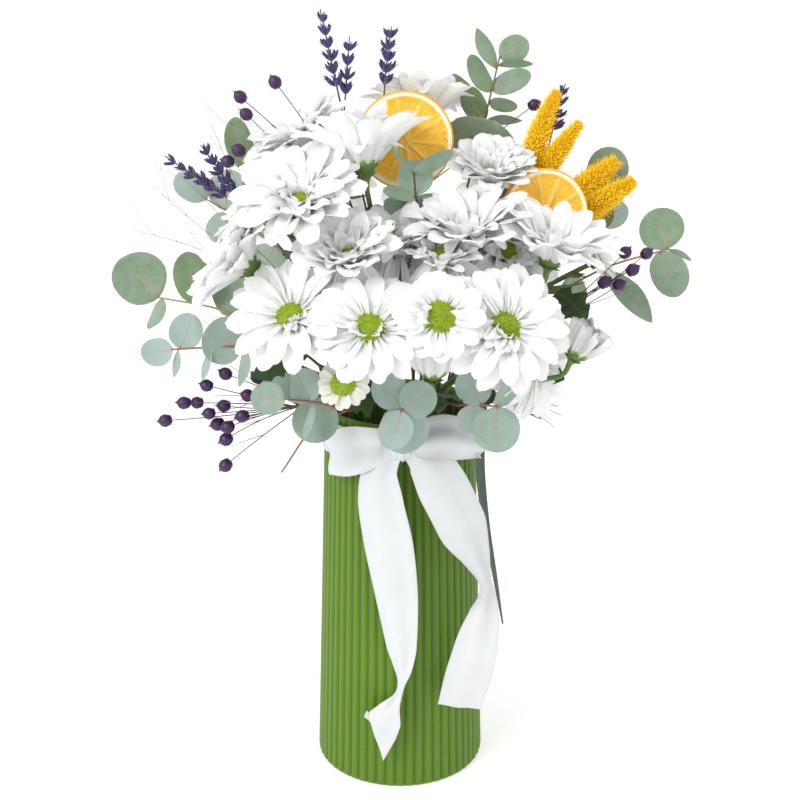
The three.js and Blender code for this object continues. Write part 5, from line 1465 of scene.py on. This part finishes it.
for order, (name, sprig) in enumerate(eucalyptus.items()):
    draw = random.Random(order + 40)
    lines = [lineOf(path) if k else stemPlaces(path) for k, path in enumerate(sprig["paths"])]
    radius, spread = eucalyptusLook["radius"], eucalyptusLook["toneSpread"]
    meshes = [tubesOf([
        (line, radius * (eucalyptusLook["side"] if k else 1.0), radius * eucalyptusLook["tip"], sprig["twig"])
        for k, line in enumerate(lines)], redTwig, 4, 0.85)]
    shape = Shape()
    for leaf in sprig["leaves"]:
        tone = min(1.0, max(0.0, sprig["tone"] + draw.uniform(-spread, spread)))
        addLeaf(shape, lines, draw, tone, *leaf)
    meshes.append(shape.mesh("leaves", [waxedLeaf, redTwig]))
    finishPiece(joined("eucalyptus_sprig_" + name, meshes), "eucalyptus", "eucalyptus_" + name)
print("eucalyptus ready")

# Flax: fine twigs with a ridged round seed head on each.
flaxLook = {"stalk": 1.2, "twig": 0.45, "head": 4.3, "sag": 0.05}
flax = {
    "left": {
        "stalk": [(-31, -20, dryFoot), (-35.6, -21.6, neckLevel), (-50, -44, 263), (-66, -54, 266)],
        "heads": [
            (-104, -58, 288), (-115, -62, 282), (-86, -50, 283), (-91, -60, 275), (-129, -62, 271),
            (-122, -56, 269), (-114, -64, 265), (-106, -56, 267), (-141, -60, 259), (-94, -66, 264),
            (-110, -58, 256), (-103, -66, 257), (-105, -60, 247), (-106, -60, 230),
        ],
    },
    "right": {
        "stalk": [(29, -15, dryFoot), (32, -13, neckLevel), (70, -34, 300), (102, -44, 326)],
        "heads": [(133, -42, 358), (146, -40, 357), (137, -48, 349), (121, -46, 341), (130, -44, 339)],
    },
    "top": {
        "stalk": [(-6, 14, dryFoot), (-7, 16, neckLevel), (-12, 20, 320), (-34, 14, 384)],
        "heads": [(-74, -8, 453), (-95, -6, 444), (-91, -14, 435), (-96, -16, 414), (-103, -14, 407),
                  (82, 18, 436)],
    },
}
flaxHead = Shape().turned(
    [(0, -1.02), (.3, -.98), (.72, -.72), (.97, -.25), (1.0, .15), (.8, .62), (.42, .92), (.16, 1.08), (0, 1.42)],
    20, wave=lambda turn: 1 - 0.07 * abs(math.sin(2.5 * turn)) ** 0.5)
flaxHead.teeth(5, [(.25, .16, -1.02), (.625, .2, -.895), (1, .02, -.52)], 0.06)
flaxShape = keptShape("flax_head", flaxHead, flaxCapsule)


def drawn(draw, *limits):
    return Vector([draw.uniform(least, most) for least, most in limits])


def bowed(start, end, sag, draw):
    # a fine twig between two places, with a slight bow
    span = end - start
    bow = span.cross(drawn(draw, (-1, 1), (-1, 1), (-1, 1))).normalized()
    return [start + span * t + bow * (sag * span.length * 4 * t * (1 - t)) for t in (0, .17, .33, .5, .67, .83, 1)]


for order, (name, bunch) in enumerate(flax.items()):
    draw = random.Random(order + 90)
    before, end = stemPlaces(bunch["stalk"], 2)[-2:]
    along = end - before
    heads = sorted((point(h) for h in bunch["heads"]), key=lambda h: -along.angle(h - end))
    lines = [(stemPlaces(bunch["stalk"]), flaxLook["stalk"], 0.7, 0.3)]
    for i, head in enumerate(heads):
        fork = mixed(before, end, (i + 1) / len(heads))
        line = bowed(fork, head, flaxLook["sag"] * draw.uniform(-1, 1), draw)
        lines.append((line, flaxLook["twig"], 0.3, 0.5))
        if i % 2 == 0:
            spur = line[3] + (line[3] - line[2]).normalized() * draw.uniform(14, 26) * mm
            spur += drawn(draw, (-6, 6), (-4, 4), (-6, 8)) * mm
            lines.append((bowed(line[3], spur, 0.06, draw), 0.28, 0.16, 0.7))
    points = bpy.data.meshes.new("heads")
    points.from_pydata(heads, [], [])
    aims = [number for head in heads for number in (head - end).normalized()]
    points.attributes.new("aim", "FLOAT_VECTOR", "POINT").data.foreach_set("vector", aims)
    meshes = [tubesOf(lines, flaxTwig, 3, 0.8), runTree(seedHeads, {
        "Shape": flaxShape, "Size": flaxLook["head"] * mm, "Seed": order, "Material": flaxCapsule,
    }, points)]
    finishPiece(joined("flax_bunch_" + name, meshes), "flax", "flax_" + name)
print("flax ready")

# Lavender: a stalk with one or two spikes, each to its tip and with its count of whorls.
lavenderLook = {"stalk": 0.9, "bare": 0.3, "perWhorl": 6, "bud": 7.8, "lean": 33.0}
lavender = {
    "top_left": ([(-3, 7, dryFoot), (-1.6, 3.1, neckLevel), (-16, 8, 350), (-34, 4, 430)],
                 [((-47, 2, 494), 6), ((-30, 6, 478), 4)]),
    "top": ([(-2, 15, dryFoot), (-4.7, 15.5, neckLevel), (0, 10, 360), (-10, 4, 436)], [((-5, 2, 484), 5)]),
    "left": ([(-30, 2, dryFoot), (-42, 3, neckLevel), (-62, 8, 330), (-92, 2, 372)],
             [((-141, -8, 409), 6), ((-120, -4, 415), 5)]),
    "right": ([(24, 13, dryFoot), (29.6, 8.3, neckLevel), (62, 26, 350), (92, 24, 408)], [((101, 22, 448), 4)]),
}
lavenderCalyx = Shape().turned([(0, 0), (.09, .06), (.15, .35), (.17, .62), (.12, .8), (0, .84)], 6)
lavenderCalyx.teeth(3, [(.08, .09, .66), (.1376, .08, .876), (.24, .02, 1.02)], 0.05)
lavenderShape = keptShape("lavender_bud", lavenderCalyx, lavenderBud)

for order, (name, (stalk, tips)) in enumerate(lavender.items()):
    draw = random.Random(order + 120)
    lines = [(stemPlaces(stalk), lavenderLook["stalk"], 0.6, 0.4)]
    meshes = []
    for k, (tip, whorls) in enumerate(tips):
        line = bowed(point(stalk[-1]), point(tip), 0.02 * draw.uniform(-1, 1), draw)
        lines.append((line, 0.6, 0.35, 0.3))
        meshes.append(runTree(spikes, {
            "Shape": lavenderShape, "Pieces": whorls * lavenderLook["perWhorl"],
            "Per Whorl": lavenderLook["perWhorl"], "Twist": 0.45, "Start": lavenderLook["bare"],
            "End": 1.0, "Reach": 0.4 * mm, "Lean": math.radians(lavenderLook["lean"]),
            "Lean Spread": 0.3, "Size": lavenderLook["bud"] * mm, "Size Spread": 0.16, "Taper": 0.35,
            "Taper Power": 1.5, "Seed": 10 * order + k, "Material": lavenderBud,
        }, lineMesh(line)))
    stalks = tubesOf(lines, lavenderStalk, 4, 0.85)
    finishPiece(joined("lavender_sprig_" + name, [stalks] + meshes), "lavender", "lavender_" + name)
print("lavender ready")

# Foxtails: a stalk with two bristly heads, each from its foot to its tip and with its radius.
foxtailLook = {
    "puff": {"inner": 1.12, "outer": 1.3}, "stalk": 1.2, "bare": 0.2, "core": 4.2,
    "grains": 640, "grain": 3.4, "bristles": 1300, "bristle": 5.4,
}
foxtails = {
    "inner": ([(21, 2, dryFoot), (23, 1, neckLevel), (54, -2, 340), (70, -4, 374)],
              [((70, -4, 374), (95, 10, 446), 6.4), ((67, -4, 368), (109, 2, 428), 6.2)]),
    "outer": ([(26, 9, dryFoot), (30.2, 6.2, neckLevel), (66, 6, 330), (86, 2, 362)],
              [((86, 2, 362), (134, 12, 403), 6.6), ((82, 2, 357), (143, 0, 393), 6.6)]),
}
grainShape = keptShape("foxtail_grain", Shape().turned([(0, 0), (.2, .25), (.2, .6), (0, 1)], 5, 0.75), foxtailGrain)
bristleShape = keptShape("foxtail_bristle", Shape().turned([(0, 0), (.05, .1), (0, 1)], 3, 0.95), foxtailGrain)

for order, (name, (stalk, heads)) in enumerate(foxtails.items()):
    draw = random.Random(order + 150)
    puff = foxtailLook["puff"][name]
    lines = [(stemPlaces(stalk), foxtailLook["stalk"], 0.9, 0.3)]
    meshes = []
    for k, (start, tip, radius) in enumerate(heads):
        line = bowed(point(start), point(tip), 0.03, draw)
        lines.append((line, 0.9, 0.5, 0.4))
        radii = [mixed(0.9, foxtailLook["core"] * puff, min(1, i / 4)) * mm * (1 - 0.62 * (i / 12) ** 3)
                 for i in range(13)]
        meshes.append(Shape().tube(smoothLine(line, 2), radii, 10, 0.0).mesh("core", [foxtailGrain]))
        for shape, pieces, size, reach, lean in (
                (grainShape, foxtailLook["grains"], foxtailLook["grain"], 0.56, 1.0),
                (bristleShape, foxtailLook["bristles"], foxtailLook["bristle"], 0.6, 0.95)):
            meshes.append(runTree(spikes, {
                "Shape": shape, "Pieces": pieces, "Start": foxtailLook["bare"] - 0.06, "End": 0.99,
                "Reach": radius * reach * puff * mm, "Lean": lean, "Lean Spread": 0.3,
                "Size": size * puff * mm, "Size Spread": 0.3, "Taper": 0.62, "Taper Power": 3.2,
                "Seed": 10 * order + 3 * k, "Material": foxtailGrain,
            }, lineMesh(line)))
    stalks = tubesOf(lines, darkGrass, 4, 0.9)
    finishPiece(joined("foxtail_pair_" + name, [stalks] + meshes), "foxtail", "foxtail_" + name)
print("foxtails ready")

# Dried orange slices on picks.
sliceLook = {"thickness": 4.6, "segments": 10, "rind": 1.0, "pith": 2.5, "sides": 120, "pick": 1.1}
slices = {
    "centre": {"at": (3, -10, 419), "face": (0, 8), "radius": 29,
               "foot": [(8, 10, dryFoot), (9, 12, neckLevel), (5, -2, 330)]},
    "right": {"at": (86, -27, 378), "face": (14, 8), "radius": 27,
              "foot": [(26, 6, dryFoot), (29, 4, neckLevel), (62, -12, 318)]},
}


def orangeSlice(name, piece):
    axis, centre = heading(*piece["face"]), point(piece["at"])
    side = Vector((0, 0, 1)).cross(axis).normalized()
    up = axis.cross(side)
    radius, half = piece["radius"], sliceLook["thickness"] / 2
    flesh = radius - sliceLook["rind"]                # the pith ends here and the rind begins
    inside = flesh - sliceLook["pith"]
    sides, segments = sliceLook["sides"], sliceLook["segments"]
    draw = random.Random(len(name))
    wobble = [draw.uniform(-0.12, 0.12) for _ in range(segments)]
    rings = [1.2, 2.6, 4.5] + [mixed(6.0, inside - 1.5, k / 8) for k in range(9)]
    rings += [inside - 0.5, inside + 0.3, inside + 1.2, flesh - 0.2, flesh + 0.2, radius - 0.7, radius - 0.15]
    shape, corners, tints = Shape(), [], []

    def ringHeight(reach, turn):
        # the height of a face, and how much it is membrane there
        sector = turn * segments / fullTurn + 0.2
        off = min(sector % 1, 1 - sector % 1) * fullTurn / segments * reach
        skin = math.exp(-((off - 0.1) / 0.75) ** 2) if reach < inside + 0.4 else 1.0
        rim = math.exp(-((inside - reach) / 0.8) ** 2) if reach < inside else 1.0
        pale = max(skin, rim, 1.0 if reach < 2.7 else 0.0)
        sunk = 1.25 * (1 - pale) * (1 + wobble[int(sector) % segments])
        height = half - sunk - 0.35 * math.sin(3 * turn + reach / 5)
        return (half - 0.9 if reach > radius - 0.5 else height) * mm, pale

    def addCorner(reach, turn, height, tint):
        corners.append(centre + (side * math.cos(turn) + up * math.sin(turn)) * reach * mm + axis * height)
        tints.append(tint)

    for face in (1, -1):
        addCorner(0.0, 0.0, face * (half - 0.2) * mm, 0.9)
        for reach in rings:
            for j in range(sides):
                height, pale = ringHeight(reach, fullTurn * j / sides)
                addCorner(reach, fullTurn * j / sides, face * height, pale)
    offset = 1 + len(rings) * sides
    for height in (0.7, -0.7):
        for j in range(sides):
            addCorner(radius, fullTurn * j / sides, height * mm, 1.0)
    faces, uvs, faceTints, materials = [], [], [], []

    def addFace(face, uv, material):
        faces.append(face)
        uvs.append(uv)
        faceTints.append(sum(tints[c] for c in face) / len(face))
        materials.append(material)

    belt, top = 2 * offset, 1 + (len(rings) - 1) * sides
    for first, way in ((0, 1), (offset, -1)):
        for j in range(sides):
            n, a, b = (j + 1) % sides, j / sides, (j + 1) / sides
            addFace((first, first + 1 + j, first + 1 + n)[::way], ((a, 0), (a, 0), (b, 0)), 0)
            for k in range(len(rings) - 1):
                low, high = first + 1 + k * sides, first + 1 + (k + 1) * sides
                uv = ((a, rings[k] / radius), (a, rings[k + 1] / radius),
                      (b, rings[k + 1] / radius), (b, rings[k] / radius))
                middle = (rings[k] + rings[k + 1]) / 2
                kind = 0 if middle < inside else 1 if middle < flesh else 2
                addFace((low + j, high + j, high + n, low + n)[::way], uv[::way], kind)
    for j in range(sides):
        n, a, b = (j + 1) % sides, j / sides, (j + 1) / sides
        for near, far in ((top, belt), (belt, belt + sides), (belt + sides, offset + top)):
            addFace((near + j, far + j, far + n, near + n), ((a, 1), (a, 1), (b, 1), (b, 1)), 2)
    shape.add(corners, faces, uvs, faceTints, None, materials)
    made = placed("dried_slice_" + name, shape.mesh(name, [orangeFlesh, orangePith, orangeRind]))
    finishPiece(made, "orange", "orange_slice_" + name)

    down = (Vector((0, 0, -1)) + axis * axis.z).normalized()
    behind = centre - axis * (half + 0.3 + sliceLook["pick"]) * mm
    line = [point(p) for p in piece["foot"]] + [behind + down * share * radius * mm for share in (1.2, 0.2)]
    radii = [sliceLook["pick"] * mm] * (len(line) - 1) + [0.5 * mm]
    pick = Shape().tube(line, radii, 10, 0.5).mesh("pick", [pickWood])
    finishPiece(placed("bamboo_pick_" + name, pick), "pick", "orange_pick_" + name)


for name, piece in slices.items():
    orangeSlice(name, piece)
print("orange slices ready")

# The grass blade, and the small dry pieces between the rest. Beside the vase the blade is
# wider than its plan, and hangs closer to the wall.
grassPath = [
    ((30, -7, dryFoot), (0, 1, 0), 2.4), ((40.2, -10.4, neckLevel - 4), (0, 1, 0), 2.6),
    ((44, -15, 259), (.3, 1, 0), 3), ((50, -22, 262), (1, .5, 0), 4.5), ((51, -27, 250), (1, .5, 0), 6.5),
    ((49.5, -28, 222), (1, .5, 0), 7), ((54, -26, 180), (1, .5, 0), 5.5),
    ((61, -22, 140), (1, .5, 0), 3.6), ((68, -17, 100), (1, .5, 0), 1.2),
]
smallPieces = {
    # each line starts inside the neck of the vase
    "twigs": [
        [(30, -30, 200), (36, -34, 256), (62, -56, 268), (84, -66, 262)],
        [(32, -28, 200), (38, -30, 256), (66, -52, 274), (94, -60, 268)],
    ],
    "hair": [
        [(-30, 8, 200), (-38, 10, 256), (-72, 2, 330), (-118, -6, 362), (-150, -10, 392)],
        [(-30, 8, 200), (-38, 10, 256), (-72, 2, 330), (-108, -10, 372), (-136, -14, 404)],
        [(-28, 6, 200), (-36, 8, 256), (-66, 0, 336), (-94, -10, 384), (-112, -16, 430)],
        [(-26, 4, 200), (-34, 6, 256), (-60, 0, 340), (-84, -12, 392), (-96, -14, 440)],
        [(-30, 8, 200), (-38, 10, 256), (-80, 2, 322), (-122, -10, 352), (-162, -16, 366)],
    ],
    "fern": [[(0, -8, 200), (0, -10, 256), (-2, -50, 330), (-4, -78, 384)],
             [(2, -8, 200), (2, -10, 256), (4, -54, 330), (6, -80, 372)]],
}
grass = Shape().blade([
    [place + over * (u * width / 2) + normal * (0.22 * width * abs(u)) for u in (-1, -0.5, 0, 0.5, 1)]
    for place, _, over, normal, width in stripFrames(grassPath, 5)], 0.4 * mm, 0.4)
finishPiece(placed("grass_leaf", grass.mesh("grass_leaf", [darkGrass])), "grass", "grass_blade")


fine = [(lineOf(path), 0.7, 0.3, 0.4) for path in smallPieces["twigs"]]
draw = random.Random(5)
for line, *_ in list(fine):
    for k in (14, 16):
        spur = line[k] + Vector((draw.uniform(8, 16), -4, draw.uniform(-8, 6))) * mm
        fine.append((bowed(line[k], spur, 0.1, draw), 0.3, 0.2, 0.6))
finishPiece(placed("fine_twigs", tubesOf(fine, flaxTwig, 3, 0.8)), "flax")
hairs = []
for path in smallPieces["hair"]:
    line = lineOf(path)
    hairs.append((line, 0.5, 0.16, 0.5))
    for k in (14, 17, 20, 22):
        spur = line[k] + drawn(draw, (-24, 2), (-8, 8), (2, 22)) * mm
        hairs.append((bowed(line[k], spur, 0.1, draw), 0.2, 0.12, 0.7))
finishPiece(placed("hair_grass", tubesOf(hairs, hairGrass, 3, 0.8)), "grass")
needleShape = keptShape("fern_needle", Shape().turned([(0, 0), (.05, .1), (0, 1)], 3), darkGrass)
ferns = []
for k, path in enumerate(smallPieces["fern"]):
    ferns += [tubesOf([(lineOf(path), 0.6, 0.25, 0.3)], darkGrass, 3, 0.8), runTree(spikes, {
        "Shape": needleShape, "Pieces": 60, "Per Whorl": 2, "Twist": 1.2, "Start": 0.72, "End": 1.0,
        "Reach": 0.1 * mm, "Lean": 0.8, "Lean Spread": 0.4, "Size": 7.0 * mm, "Size Spread": 0.4,
        "Taper": 0.5, "Seed": k, "Material": darkGrass,
    }, lineMesh(lineOf(path)))]
finishPiece(joined("asparagus_fern", ferns), "grass")
print("small pieces ready")

# The shapes that only the trees needed go.
for kept in [floret, flaxShape, lavenderShape, grainShape, bristleShape, needleShape]:
    bpy.data.objects.remove(kept)
for collection in [*petalSets.values(), bracts]:
    for kept in list(collection.objects):
        bpy.data.objects.remove(kept)
    bpy.data.collections.remove(collection)
